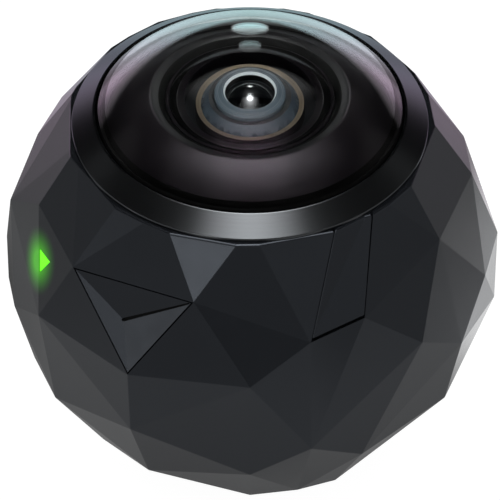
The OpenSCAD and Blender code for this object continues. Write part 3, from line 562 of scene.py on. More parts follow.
def surface(name, made, colour, second, scale, roughness, spread, bump_mm, fixed=None, strength=0.3):
    """A material whose colour, roughness and relief come from one of the groups."""
    material = new_material(name)
    tree, shader = parts(material)
    values = {"Colour": (*colour, 1), "Second Colour": (*second, 1), "Scale": scale}
    values.update({"Roughness": roughness, "Spread": spread})
    face = tree.add("ShaderNodeGroup", values, node_tree=made)
    relief = {"Height": face.outputs["Height"], "Distance": bump_mm * MM, "Strength": strength}
    bump = tree.add("ShaderNodeBump", relief)
    tree.put(shader.inputs["Base Color"], face.outputs["Colour"])
    tree.put(shader.inputs["Roughness"], face.outputs["Roughness"])
    tree.put(shader.inputs["Normal"], bump.outputs["Normal"])
    preset(shader, fixed or {})
    return material


def grey(level, tint=(1, 1, 1)):
    """A colour from one level and a tint."""
    return tuple(level * x for x in tint)


def coated_glass(name, tint, mirror, index):
    """Clear glass whose coating takes away most head-on reflections. Lamps reach what is behind it."""
    material = new_material(name)
    tree, shader = parts(material)
    haze = tree.noise(tree.place(), 160.0, 3.0)
    tree.put(shader.inputs["Base Color"], tree.mix(haze, (1, 1, 1, 1), (*tint, 1)))
    fixed = {"Roughness": 0.0, "IOR": index, "Transmission Weight": 1.0, "Specular Tint": (*mirror, 1)}
    preset(shader, fixed)
    clear = tree.add("ShaderNodeBsdfTransparent", {"Color": (*tint, 1)})
    lamp_ray = tree.add("ShaderNodeLightPath").outputs["Is Shadow Ray"]
    both = tree.add("ShaderNodeMixShader", {0: lamp_ray, 1: shader.outputs[0], 2: clear.outputs[0]})
    sink = material.node_tree.nodes["Material Output"]
    tree.put(sink.inputs["Surface"], both.outputs[0])
    return material


def body_plastic():
    """Soft-touch dark plastic with a painted green glow round the status light."""
    look = bpy.context.scene.ball_body
    colour = tuple(look.colour)
    second = tuple(x * 1.35 for x in colour)
    fixed = {"Specular Tint": (0.8, 0.88, 1.0, 1), "Emission Strength": look.glow}
    material = surface(
        "body_plastic", group(moulded_grain), colour, second, look.grain * 1000, look.roughness,
        0.01, 0.01, fixed, 0.1,
    )
    tree, shader = parts(material)
    lowest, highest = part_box("light_pipe")
    # Painted glow: the body's own plastic emits green light that fades with distance from the status
    # light's window
    window = Vector((lowest.x, (lowest.y + highest.y) / 2, (lowest.z + highest.z) / 2))
    away = tree.vector("DISTANCE", tree.place(), window)
    soft = tree.math("POWER", tree.down(away, *PAINTED_GLOW_REACH), 2.0)
    tree.put(shader.inputs["Emission Color"], tree.mix(soft, (0, 0, 0, 1), (*look.light, 1)))
    return material


def light_plastic():
    """Clear green plastic lit from behind."""
    colour = tuple(bpy.context.scene.ball_body.light)
    fixed = {"Emission Strength": 1.0}
    material = surface(
        "light_plastic", group(moulded_grain), colour, grey(0.8, colour), 4000, 0.25, 0.05, 0.01, fixed,
    )
    tree, shader = parts(material)
    cloud = tree.noise(tree.place(), 500.0, 2.0)
    tree.put(shader.inputs["Emission Color"], tree.mix(cloud, (*colour, 1), (*grey(0.9, colour), 1)))
    return material


def simple_finishes():
    """The finishes that need only a group and a few numbers."""
    grain, turned, brushed = group(moulded_grain), group(turned_lines), group(brushed_strokes)
    tracks, weave = group(board_tracks), group(woven_threads)
    cool = (0.95, 1.0, 1.05)
    metal = {"Metallic": 1.0}
    dim_rim = {"Metallic": 1.0, "Specular Tint": (0.75, 0.76, 0.8, 1)}
    lilac = {"Specular Tint": (1.0, 0.88, 1.0, 1)}
    dull = {"Specular IOR Level": 0.12}
    purple = (1.0, 0.78, 1.0)
    return {
        "bezel_metal": (
            turned, grey(0.085, cool), grey(0.092, cool), 9000, 0.22, 0.01, 0.001, dim_rim, 0.01,
        ),
        "housing_black": (
            grain, grey(0.0045, purple), grey(0.006, purple), 5000, 0.3, 0.02, 0.006, lilac, 0.1,
        ),
        "crest_satin": (turned, (0.009, 0.0088, 0.0105), (0.011, 0.0108, 0.0125), 3000, 0.36, 0.04, 0.003),
        "barrel_metal": (turned, (0.01, 0.012, 0.014), (0.014, 0.016, 0.018), 7000, 0.45, 0.05, 0.003),
        "nose_satin": (turned, (0.044, 0.062, 0.08), (0.05, 0.068, 0.086), 7000, 0.38, 0.05, 0.003),
        # Near-white paint for the retainer's inner chamfer: a painted highlight, a bright line round the
        # inner lens
        "painted_highlight_chamfer": (turned, (0.88, 0.94, 0.95), (0.92, 0.97, 0.98), 7000, 0.25, 0.05, 0.002),
        "gold_metal": (turned, (0.34, 0.27, 0.19), (0.41, 0.33, 0.24), 6000, 0.38, 0.05, 0.003, metal),
        "retainer_metal": (turned, (0.1, 0.13, 0.155), (0.12, 0.15, 0.175), 7000, 0.25, 0.05, 0.003),
        "seal_rubber": (grain, grey(0.012), grey(0.018), 4000, 0.7, 0.08, 0.02),
        "bush_brass": (turned, (0.62, 0.44, 0.18), (0.7, 0.52, 0.24), 4000, 0.3, 0.08, 0.006, metal),
        "contact_gold": (turned, (0.9, 0.66, 0.24), (0.95, 0.72, 0.3), 3000, 0.22, 0.06, 0.004, metal),
        "screw_steel": (brushed, grey(0.5, cool), grey(0.58, cool), 9000, 0.32, 0.08, 0.004, metal),
        "motor_steel": (brushed, grey(0.52, cool), grey(0.6, cool), 7000, 0.3, 0.07, 0.004, metal),
        "board_laminate": (tracks, (0.012, 0.1, 0.04), (0.03, 0.17, 0.07), 500, 0.4, 0.12, 0.03),
        "chip_black": (grain, grey(0.018), grey(0.026), 7000, 0.55, 0.06, 0.01),
        "can_steel": (brushed, grey(0.55, cool), grey(0.62, cool), 5000, 0.34, 0.08, 0.004, metal),
        "spreader_metal": (brushed, grey(0.6, cool), grey(0.68, cool), 3000, 0.38, 0.08, 0.006, metal),
        "frame_plastic": (grain, grey(0.08), grey(0.1), 3000, 0.5, 0.06, 0.015),
        "battery_wrap": (grain, (0.04, 0.1, 0.22), (0.05, 0.13, 0.27), 900, 0.25, 0.08, 0.04),
        "flex_film": (brushed, (0.42, 0.18, 0.04), (0.55, 0.26, 0.07), 1500, 0.3, 0.08, 0.01),
        "connector_plastic": (grain, (0.7, 0.66, 0.55), (0.76, 0.72, 0.6), 3500, 0.5, 0.06, 0.01),
        "led_plastic": (grain, (0.8, 0.8, 0.74), (0.86, 0.86, 0.8), 3500, 0.35, 0.06, 0.01),
        "membrane_mesh": (weave, grey(0.6), grey(0.15), 2500, 0.8, 0.15, 0.04),
        "mic_can": (brushed, (0.62, 0.58, 0.45), (0.68, 0.64, 0.5), 6000, 0.34, 0.08, 0.004, metal),
        "antenna_ceramic": (grain, (0.7, 0.7, 0.66), (0.78, 0.78, 0.74), 3000, 0.6, 0.06, 0.01),
        "plunger_plastic": (grain, grey(0.025), grey(0.035), 4000, 0.35, 0.06, 0.01),
        # Dull near-black: real edge blackening on the lenses, and painted shade on the lip's inner slope,
        # the gold ring's outer wall, the retainer's bore and the button's crease
        "edge_black_and_painted_shade": (grain, grey(0.004), grey(0.006), 5000, 0.6, 0.05, 0.006, dull),
    }


def finish(slot):
    """The material of one of the record's slots, made once."""
    if slot in bpy.data.materials and bpy.data.materials[slot].get("ball_finish"):
        return bpy.data.materials[slot]
    old = bpy.data.materials.get(slot)
    if old:
        old.name = slot + ".cad"
    lens = bpy.context.scene.ball_lens
    if slot == "body_plastic":
        material = body_plastic()
    elif slot == "light_plastic":
        material = light_plastic()
    elif slot == "dome_glass":
        material = coated_glass(slot, (0.97, 1.0, 0.99), lens.coating, lens.index)
    elif slot == "second_glass":
        material = coated_glass(slot, (0.98, 0.98, 1.0), lens.coating, lens.second_index)
    elif slot == "lens_glass":
        material = coated_glass(slot, (0.98, 0.98, 1.0), (1, 1, 1), lens.index)
    else:
        material = surface(slot, *simple_finishes()[slot])
    material["ball_finish"] = True
    return material


# Settings


def number(label, about, default, **limits):
    """A number in a settings group."""
    return FloatProperty(name=label, description=about, default=default, **limits)


def shade(label, about, default):
    """A colour in a settings group."""
    return FloatVectorProperty(
        name=label, description=about, subtype="COLOR", default=default, min=0, max=1,
    )


class BallBody(bpy.types.PropertyGroup):
    """Sizes and colours of the faceted body."""

    colour: shade("Body colour", "Colour of the soft-touch plastic", (0.005, 0.0055, 0.0068))
    roughness: number("Body roughness", "Roughness of the soft-touch plastic", 0.25, min=0.1, max=1)
    grain: number("Grain", "Grains of the moulded texture in a millimetre", 6, min=1, max=20)
    facet_edge: number(
        "Facet edge", "Width of the rounding between facets, in millimetres", 0.16, min=0.02, max=0.5,
    )
    gap_edge: number(
        "Gap edge", "Width of the rounding at the gaps and on the covers, in millimetres",
        0.09, min=0.01, max=0.2,
    )
    ledge_edge: number(
        "Ledge edge", "Width of the rounding round the ledge, in millimetres", 0.22, min=0.02, max=0.4,
    )
    light: shade("Light colour", "Colour of the status light", (0.14, 1.0, 0.012))
    # Strength of the painted glow: green emission painted on the body round the status light
    glow: number("Glow", "Strength of the glow round the status light", 0.4, min=0, max=2)


class BallLens(bpy.types.PropertyGroup):
    """Glass of the lens, and how finely round pieces are turned."""

    index: number("Glass index", "Refractive index of the glass", 1.5, min=1.3, max=2)
    second_index: number("Second index", "Refractive index of the second lens", 1.8, min=1.1, max=2)
    coating: shade("Coating", "Head-on reflection that the coating leaves", (0.012, 0.004, 0.01))
    steps: IntProperty(
        name="Turning steps", description="Steps of a full turn on round pieces",
        default=160, min=32, max=360,
    )


class BallStudio(bpy.types.PropertyGroup):
    """Camera, lamps and what the object mirrors."""

    elevation: number(
        "Camera elevation", "Height of the camera above the horizon", math.radians(41), subtype="ANGLE",
    )
    distance: number("Camera distance", "Distance of the camera from the ball", 2.5, unit="LENGTH")
    pixel: number(
        "Pixel size", "Size of a picture pixel on the object", 0.000125, unit="LENGTH", precision=6,
    )
    drop: number("Drop", "Drop of the ball below the picture's middle, in pixels", 1.7)
    key: number("Key light", "Brightness of the soft box overhead", 1.2, min=0)
    shine: number("Key shine", "Brightness of the overhead box in reflections", 9.6, min=0)
    side: number("Side light", "Brightness of the soft box beside the camera", 3.2, min=0)
    strip: number("Strip light", "Brightness of the narrow strip at the left", 4.0, min=0)
    back: number("Back windows", "Brightness of the two windows behind, in reflections", 3.9, min=0)
    floor: number("Floor", "Brightness of the floor in reflections", 0.43, min=0, max=1)
    cards: number("Wall", "Brightness of the white wall behind, in reflections", 1.2, min=0)
    ambient: number("Ambient", "Brightness of the room's soft light", 0.73, min=0, max=2)


# Stage

SENSOR_W = 36
PICTURE_W = 500
WHITE = (1, 1, 1, 1)

# Lamps: azimuth, elevation, width and height in degrees
KEY_BOX = (0, 79, 40, 32)
SIDE_BOX = (-28, 26, 14, 12)
STRIP_BOX = (-71, 1.5, 5, 6)

# Floor in metres: its radius, a painted shadow of the ball at the left, and a painted pool of light at the
# right with a straight side
FLOOR_R = 6.0
PAINTED_SHADOW_SPOT = ((-0.037, 0.027), 0.036)
PAINTED_LIGHT_SPOT = ((0.059, 0.029), 0.036, 0.028, 37)
PAINTED_LIGHT_SIDE = (0.927, -0.375, 0)
# How bright the floor is to the camera, and the share of it that the inside of the lens mirrors
FLOOR_SEEN = 0.96
FLOOR_INSIDE = 0.1

# White wall behind: bearings of its corners and ends in radians, its top edge and the dip there as slopes
WALL_CORNER = 0.785
WALL_FADE = (0.87, 1.0)
WALL_EDGE = 0.166
WALL_DIP = 0.297

# Windows behind, as sines: height of the middle, half width, half height, and the light left at the top
LOW_WINDOW = (0.112, 0.07, 0.122, 0.5)
HIGH_WINDOW = (0.448, 0.061, 0.075, 0.3)
HIGH_WINDOW_LEVEL = 0.85

# Overhead box in reflections, along Y where it starts, is full and ends, and along X where it ends
BOX_OUTSIDE = (-0.66, -0.1, 0.3, 0.36)
BOX_INSIDE = (-0.56, -0.1, 0.3, 0.7)
BOX_CRESCENT = (-0.25, 0.05, 0.3, 0.7)
INSIDE_LEVEL = 0.12
CRESCENT_LEVEL = 0.28

# Glass faces passed, above which a ray is inside the lens, and above which it is at the innermost lens
INSIDE_DEPTH = 2.5
DEEP_DEPTH = 6.5

# Rise in degrees, radius and brightness of the points that the innermost lens mirrors
SPARKS = ((33.0, 0.05, 16.0), (49.0, 0.09, 9.0), (46.0, 0.2, 0.7))


def softbox(name, azimuth, elevation, width, height, brightness, distance=1.0):
    """An area lamp that faces the ball. Azimuths run from -Y towards +X, and angles are in degrees."""
    lamp = bpy.data.lights.new(name, "AREA")
    lamp.shape = "RECTANGLE"
    lamp.size = 2 * distance * math.tan(math.radians(width / 2))
    lamp.size_y = 2 * distance * math.tan(math.radians(height / 2))
    lamp.energy = brightness * math.pi * lamp.size * lamp.size_y
    obj = bpy.data.objects.new(name, lamp)
    bpy.context.scene.collection.objects.link(obj)
    obj.location = ball_point(azimuth, elevation, distance / MM)
    obj.rotation_euler = (obj.location - BALL_CENTRE).to_track_quat("Z", "Y").to_euler()
    return obj


class BALLCAM_OT_stage(bpy.types.Operator):
    """Makes the camera, the floor, the lamps and the world."""

    bl_idname = "ballcam.stage"
    bl_label = "Stage"

    def execute(self, context):
        scene = context.scene
        scene.view_settings.view_transform = "Standard"
        self.camera(scene)
        self.floor(scene)
        self.world(scene)
        look = scene.ball_studio
        overhead = softbox("key_box", *KEY_BOX, look.key)
        overhead.visible_glossy = False
        softbox("side_box", *SIDE_BOX, look.side)
        softbox("strip_box", *STRIP_BOX, look.strip)
        return {"FINISHED"}

    def camera(self, scene):
        look = scene.ball_studio
        data = bpy.data.cameras.new("camera")
        data.sensor_width = SENSOR_W
        data.lens = SENSOR_W * look.distance / (PICTURE_W * look.pixel)
        data.clip_end = 20
        obj = bpy.data.objects.new("camera", data)
        scene.collection.objects.link(obj)
        e = look.elevation
        back = Vector((0, -math.cos(e), math.sin(e)))
        up = Vector((0, math.sin(e), math.cos(e)))
        obj.location = BALL_CENTRE + back * look.distance + up * look.drop * look.pixel
        obj.rotation_euler = (math.pi / 2 - e, 0, 0)
        scene.camera = obj

    def floor(self, scene):
        deselect()
        bpy.ops.mesh.primitive_circle_add(
            vertices=96, radius=FLOOR_R, fill_type="NGON", location=(0, 0, 0),
        )
        floor = bpy.context.object
        floor.name = "studio_floor"
        material = new_material("floor_paper")
        t, shader = parts(material)
        material.node_tree.nodes.remove(shader)
        seen, mirrored, inside = self.rays(t)[:3]
        level, tint = self.paper(t, t.place(), scene.ball_studio)
        level = t.times(level, t.span(inside, 0.0, 1.0, 1.0, FLOOR_INSIDE))
        shine = t.plus(t.times(seen, FLOOR_SEEN), t.times(mirrored, level))
        colour = t.mix(mirrored, WHITE, tint)
        paper = t.add("ShaderNodeEmission", {"Color": colour, "Strength": shine})
        tooth = t.mix(t.noise(t.place(), 300.0), (*grey(0.14), 1), (*grey(0.16), 1))
        matte = t.add("ShaderNodeBsdfDiffuse", {"Color": tooth})
        both = t.add("ShaderNodeAddShader", {0: paper.outputs[0], 1: matte.outputs[0]})
        clear = t.add("ShaderNodeBsdfTransparent")
        under = t.add("ShaderNodeNewGeometry").outputs["Backfacing"]
        side = t.add("ShaderNodeMixShader", {0: under, 1: both.outputs[0], 2: clear.outputs[0]})
        t.put(material.node_tree.nodes["Material Output"].inputs["Surface"], side.outputs[0])
        floor.data.materials.append(material)

    def rays(self, t):
        """Masks for what the camera sees, and for all, inner and innermost reflections."""
        rays = t.add("ShaderNodeLightPath").outputs
        bounced = t.math("GREATER_THAN", rays["Glossy Depth"], 0.5)
        through = t.times(rays["Is Transmission Ray"], t.rest(bounced))
        seen = t.math("MAXIMUM", rays["Is Camera Ray"], through)
        either = t.math("MAXIMUM", rays["Is Glossy Ray"], rays["Is Transmission Ray"])
        mirrored = t.times(either, bounced)
        depth = rays["Transmission Depth"]
        inside = t.times(mirrored, t.math("GREATER_THAN", depth, INSIDE_DEPTH))
        deep = t.times(mirrored, t.math("GREATER_THAN", depth, DEEP_DEPTH))
        return seen, mirrored, inside, deep

    def paper(self, t, place, look):
        """How bright the floor looks in reflections, and its tint, with painted light and shade: a painted
        contact shadow round the ball, a painted shadow at the left and a painted pool of light at the
        right. Units are metres and radians.
        """
        flat = t.add("ShaderNodeSeparateXYZ", {0: place}).outputs
        aside = t.math("ABSOLUTE", t.math("ARCTAN2", flat["X"], flat["Y"]))
        out = t.vector("LENGTH", place)
        # Painted shade: darker close to the ball as a painted contact shadow, then dimmer further out
        painted_contact_shadow = t.span(out, 0.02, 0.05, 0.62, 1.0)
        level = t.times(painted_contact_shadow, t.span(out, 0.06, 0.105, 1.0, 0.5))
        painted_shadow = t.up(self.spot(t, place, *PAINTED_SHADOW_SPOT), 0.1, 1.0)
        level = t.times(level, painted_shadow, look.floor)
        # Painted pool of light at the right, cut off along a straight side
        right = t.span(self.spot(t, place, *PAINTED_LIGHT_SPOT), 0.8, 1.15, 1.3, 0.0)
        side = t.vector("DOT_PRODUCT", place, PAINTED_LIGHT_SIDE)
        right = t.times(right, t.down(side, 0.061, 0.071))
        narrow = t.math("POWER", t.down(aside, 0.45, 1.05), 2.0)
        near = t.times(narrow, t.up(out, 0.055, 0.1))
        level = t.times(level, t.rest(near))
        fall = t.math("POWER", t.math("DIVIDE", 0.11, t.math("MAXIMUM", out, 0.11)), 0.6)
        low_wall = self.wall(t, aside, t.math("DIVIDE", -0.055, out))
        far = t.times(low_wall, t.up(out, 0.2, 0.44))
        behind = t.math("MAXIMUM", t.times(near, fall, 0.62), far)
        bright = t.plus(right, t.times(behind, look.cards))
        tint = self.tint(t, aside, t.up(behind, 0.0, 0.3))
        return t.plus(level, bright), tint

    def spot(self, t, place, centre, long, wide=None, turn=0):
        """Distance from a spot on the floor, 1 at the edge of an ellipse."""
        inputs = {
            "Vector": place, "Location": (*centre, 0), "Rotation": (0, 0, math.radians(turn)),
            "Scale": (long, wide or long, 1),
        }
        own = t.add("ShaderNodeMapping", inputs, vector_type="TEXTURE").outputs[0]
        return t.vector("LENGTH", own)

    def wall(self, t, aside, rise):
        """The white wall behind, up to an edge that lies lower in the middle. Rise is a ray's slope."""
        share = t.math("MINIMUM", t.math("DIVIDE", aside, WALL_CORNER), 1.0)
        bend = t.math("POWER", t.rest(share), 2.2)
        edge = t.math("SUBTRACT", WALL_EDGE, t.times(bend, WALL_DIP))
        below = t.down(t.math("SUBTRACT", rise, edge), -0.03, 0.0)
        ends = t.down(aside, *WALL_FADE)
        return t.times(below, ends, t.span(rise, -0.02, 0.14, 1.0, 0.35))

    def tint(self, t, aside, amount):
        """Teal straight behind the ball, white beside that and lilac further round."""
        ramp = t.add("ShaderNodeValToRGB", {0: aside})
        ramp.color_ramp.elements[0].color = (0.46, 0.74, 0.76, 1)
        ramp.color_ramp.elements[1].color = (1.0, 0.67, 1.0, 1)
        stops = ((0.21, (0.59, 0.78, 0.85)), (0.35, (0.83, 0.83, 0.97)), (0.52, (1.0, 0.78, 1.0)))
        for place, colour in stops:
            ramp.color_ramp.elements.new(place).color = (*colour, 1)
        return t.mix(amount, WHITE, ramp.outputs[0])

    def window(self, t, axes, centre, wide, high, fade):
        """A soft ellipse behind the ball that dims upwards. Sizes are sines."""
        across = t.math("DIVIDE", axes["X"], wide)
        up = t.math("DIVIDE", t.math("SUBTRACT", axes["Z"], centre), high)
        out = t.plus(t.times(across, across), t.times(up, up))
        behind = t.math("GREATER_THAN", axes["Y"], 0.0)
        pane = t.down(out, 0.8, 1.1)
        return t.times(pane, behind, t.span(up, -0.6, 0.4, 1.0, fade))

    def world(self, scene):
        world = bpy.data.worlds.new("studio")
        scene.world = world
        world.use_nodes = True
        t = Tree(world.node_tree)
        look = scene.ball_studio
        seen, mirrored, inside, deep = self.rays(t)
        way = t.add("ShaderNodeTexCoord").outputs["Generated"]
        axes = t.add("ShaderNodeSeparateXYZ", {0: way}).outputs
        aside = t.math("ABSOLUTE", t.math("ARCTAN2", axes["X"], axes["Y"]))
        wall = self.wall(t, aside, t.math("DIVIDE", axes["Z"], t.axial(way)))
        high_pane = t.times(self.window(t, axes, *HIGH_WINDOW), HIGH_WINDOW_LEVEL)
        panes = t.plus(self.window(t, axes, *LOW_WINDOW), high_pane)
        room = t.times(self.dusk(t, axes), t.span(axes["Y"], 0.2, 0.5, 1.0, 0.06))
        room = t.plus(room, t.times(wall, look.cards), t.times(panes, look.back))
        room = t.plus(room, self.overhead(t, axes, look, *BOX_OUTSIDE))
        room = t.times(room, t.rest(inside))
        within = t.times(self.overhead(t, axes, look, *BOX_INSIDE), INSIDE_LEVEL)
        crescent = t.times(self.overhead(t, axes, look, *BOX_CRESCENT), CRESCENT_LEVEL)
        beside = t.times(self.side_glow(t, axes), t.rest(deep))
        within = t.plus(within, crescent, beside, t.times(deep, self.sparks(t, way)))
        room = t.plus(room, t.times(inside, within))
        shown = t.math("MAXIMUM", t.times(mirrored, room), seen)
        diffuse = t.add("ShaderNodeLightPath").outputs["Is Diffuse Ray"]
        soft = t.times(diffuse, look.ambient)
        back = world.node_tree.nodes["Background"]
        t.put(back.inputs["Strength"], t.math("MAXIMUM", shown, soft))
        tint = self.tint(t, aside, t.math("MAXIMUM", wall, panes))
        tint = t.mix(inside, tint, WHITE)
        t.put(back.inputs["Color"], t.mix(mirrored, WHITE, tint))

    def dusk(self, t, axes):
        """The dim room: a little brighter upwards, dark above, and darkest low in front."""
        rising = t.span(axes["Z"], 0.0, 0.44, 0.28, 0.5)
        above = t.span(axes["Z"], 0.46, 0.58, 1.0, 0.06)
        front = t.down(axes["Y"], -1.0, -0.75)
        dip = t.times(front, t.span(axes["Z"], 0.05, 0.2, 0.9, 0.0))
        return t.times(rising, above, t.rest(dip))

    def overhead(self, t, axes, look, near, full, far, wide):
        """The overhead box as reflections show it, brightest above and dimmer towards the front."""
        front = t.up(axes["Y"], near, full)
        back = t.down(axes["Y"], far - 0.25, far)
        across = t.down(t.math("ABSOLUTE", axes["X"]), 0.06, wide)
        up = t.math("GREATER_THAN", axes["Z"], 0.3)
        return t.times(front, back, t.times(across, up), look.shine)

    def side_glow(self, t, axes):
        """Dim light from both sides behind, for reflections inside the lens."""
        aside = t.math("ABSOLUTE", axes["X"])
        glow = t.span(axes["Y"], 0.3, 0.6, 0.0, 1.2)
        bands = ((aside, (0.1, 0.25), (0.45, 0.6)), (axes["Z"], (0.35, 0.5), (0.65, 0.8)))
        for value, inner, outer in bands:
            glow = t.times(glow, t.up(value, *inner), t.down(value, *outer))
        return glow

    def sparks(self, t, way):
        """Small lamps behind that only the innermost lens mirrors, as a row of points."""
        total = 0.0
        for rise, radius, level in SPARKS:
            e = math.radians(rise)
            off = t.vector("DISTANCE", way, (0, math.cos(e), math.sin(e)))
            glow = t.math("POWER", t.down(off, 0.0, radius), 2.0)
            total = t.plus(t.times(glow, level), total)
        return total


# Pieces

# Least radius in millimetres of the ball's outside, and the least turns of the edges that are rounded
OUTSIDE_R = 26.2
FACET_TURN = math.radians(2.5)
GAP_TURN = math.radians(40)
# The button's crease in millimetres: half its width, its depth below the dish, and its start before that
CREASE_HALF = 0.32
CREASE_DEPTH = 1.3
CREASE_START = 0.3
# How far the stem's end is drawn back, clear of the switch
STEM_CUT = 0.03
# Radius in millimetres outside of which the flat underside of a lens is ground
GROUND_R = 7.0


def outward(face):
    """True for a face of the ball's outside, by its place and normal."""
    arm = face.calc_center_median() - BALL_CENTRE
    return arm.length > OUTSIDE_R * MM and face.normal.dot(arm.normalized()) > 0.75


def facet_edge(edge):
    """True for an edge between two facets of the ball."""
    return all(outward(f) for f in edge.link_faces) and edge.calc_face_angle(0) > FACET_TURN


def gap_edge(edge):
    """True for an edge where an outside facet turns into a pocket or a join."""
    faces = [outward(f) for f in edge.link_faces]
    return sum(faces) == 1 and edge.calc_face_angle(0) > GAP_TURN and edge.is_convex


def ledge_edge(edge):
    """True for an edge where an outside facet meets the flat ledge under the bezel."""
    if any(abs(v.co.z / MM - LEDGE_Z) > 0.01 for v in edge.verts):
        return False
    return edge.is_convex and sum(f.normal.z > 0.99 for f in edge.link_faces) == 1


def in_crease(face):
    """True for the floor and the walls of the button's crease, from the dish to a corner."""
    place = face.calc_center_median()
    tilt = abs(face.normal.dot(BUTTON_WAY))
    depth = BUTTON_WAY.dot(place - DISH_POINT) / MM
    line = BUTTON_CORNERS[1] - DISH_POINT
    arm = place - DISH_POINT - BUTTON_WAY * depth * MM
    along = arm.dot(line.normalized())
    off = (arm - line.normalized() * along).length / MM
    flat_or_steep = tilt < 0.3 or tilt > 0.9
    near = off < CREASE_HALF and depth > -CREASE_DEPTH
    return flat_or_steep and near and -CREASE_START * MM < along < line.length


class BALLCAM_OT_body(bpy.types.Operator):
    """Rounds the facets of the shell and of the base cap."""

    bl_idname = "ballcam.body"
    bl_label = "Faceted body"

    def execute(self, context):
        look = context.scene.ball_body
        shell = node_copy("main_shell", "faceted_shell")
        bevel_where(shell, ledge_edge, look.ledge_edge, 3)
        bevel_where(shell, facet_edge, look.facet_edge, 3)
        bevel_where(shell, gap_edge, look.gap_edge, 2)
        hand_over(shell, "body_plastic", "body", "main_shell")
        cap_piece = node_copy("base_cap", "faceted_base")
        bevel_where(cap_piece, facet_edge, look.facet_edge, 3)
        bevel_where(cap_piece, gap_edge, look.gap_edge, 2)
        hand_over(cap_piece, "body_plastic", "body", "base_cap")
        return {"FINISHED"}


class BALLCAM_OT_bezel(bpy.types.Operator):
    """Turns the satin ring round the glass."""

    bl_idname = "ballcam.bezel"
    bl_label = "Bezel"

    def execute(self, context):
        profile = [
            (SPIGOT_IN_R, FLANGE_TOP_Z), (SPIGOT_R, FLANGE_TOP_Z), (SPIGOT_R, LEDGE_Z), (BEZEL_R, LEDGE_Z),
            (BEZEL_R, LEDGE_Z + BEZEL_RIM_H), (SPIGOT_IN_R + BEZEL_LIP_W, BEZEL_LIP_Z),
            (SPIGOT_IN_R + BEZEL_CHAMFER, BEZEL_LIP_Z), (SPIGOT_IN_R, BEZEL_LIP_Z - BEZEL_CHAMFER),
            (SPIGOT_IN_R, FLANGE_TOP_Z),
        ]
        ring = lathe("bezel", profile, context.scene.ball_lens.steps)
        rounded(ring, width=0.1, angle=20, segments=3)
        smooth(ring, angle=22)
        hand_over(ring, "bezel_metal", "body", "bezel_ring")
        return {"FINISHED"}


def paint(obj, slot, wanted):
    """Gives a second finish to the faces that a test picks."""
    obj.data.materials.append(finish(slot))
    pick(obj, "FACE", wanted)
    obj.active_material_index = len(obj.data.materials) - 1
    bpy.ops.object.material_slot_assign()
    done()


def middle(face):
    """Middle of a face, in millimetres."""
    return face.calc_center_median() / MM


def lean(face):
    """Above 0 for a face that looks away from the lens axis, below 0 for one that looks at it."""
    return face.normal.xy.dot(face.calc_center_median().xy)


def ground(face):
    """True for a lens face that is upright, or that looks straight down outside the hollow."""
    outside = middle(face).xy.length > GROUND_R
    return abs(face.normal.z) < 0.05 or (outside and face.normal.z < -0.999)


def on_lip(face):
    """True for a face of the housing's lip, between the crest and the second lens."""
    place = middle(face)
    between = SECOND_SEAT_R < place.xy.length < CREST_R
    return face.normal.z > 0.3 and between and place.z > SECOND_EDGE_Z - 0.5


def on_lip_inside(face):
    """True for a face of the lip's steep inner part."""
    return on_lip(face) and face.normal.z < 0.93


def on_nose(face):
    """True for a face of the nose's slope and of the short upright foot below it."""
    place = middle(face)
    between = SHOULDER_Z + 0.1 < place.z < NOSE_Z
    return -0.1 < face.normal.z < 0.9 and between and place.xy.length > THIRD_R + 1


def on_outer_wall(face):
    """True for an upright face that looks away from the lens axis."""
    return abs(face.normal.z) < 0.6 and lean(face) > 0


def on_inner_wall(face):
    """True for an upright face that looks at the lens axis."""
    return abs(face.normal.z) < 0.3 and lean(face) < 0


def on_chamfer(face):
    """True for a sloping face that looks at the lens axis."""
    return 0.3 <= face.normal.z < 0.95 and lean(face) < 0


class BALLCAM_OT_dome(bpy.types.Operator):
    """Turns the coated dome."""

    bl_idname = "ballcam.dome"
    bl_label = "Dome glass"

    def execute(self, context):
        outside = arc(DOME_CENTRE_Z, DOME_R, 0, GLASS_R, steps=56)
        inside = arc(DOME_CENTRE_Z, DOME_IN_R, DOME_FOOT_R, 0, steps=48)
        profile = outside + [(GLASS_R, GLASS_BACK_Z), (DOME_FOOT_R, GLASS_BACK_Z)] + inside
        dome = lathe("dome_glass", profile, context.scene.ball_lens.steps, angle=25)
        hand_over(dome, "dome_glass", "body", "dome_lens")
        paint(dome, "edge_black_and_painted_shade", ground)
        return {"FINISHED"}


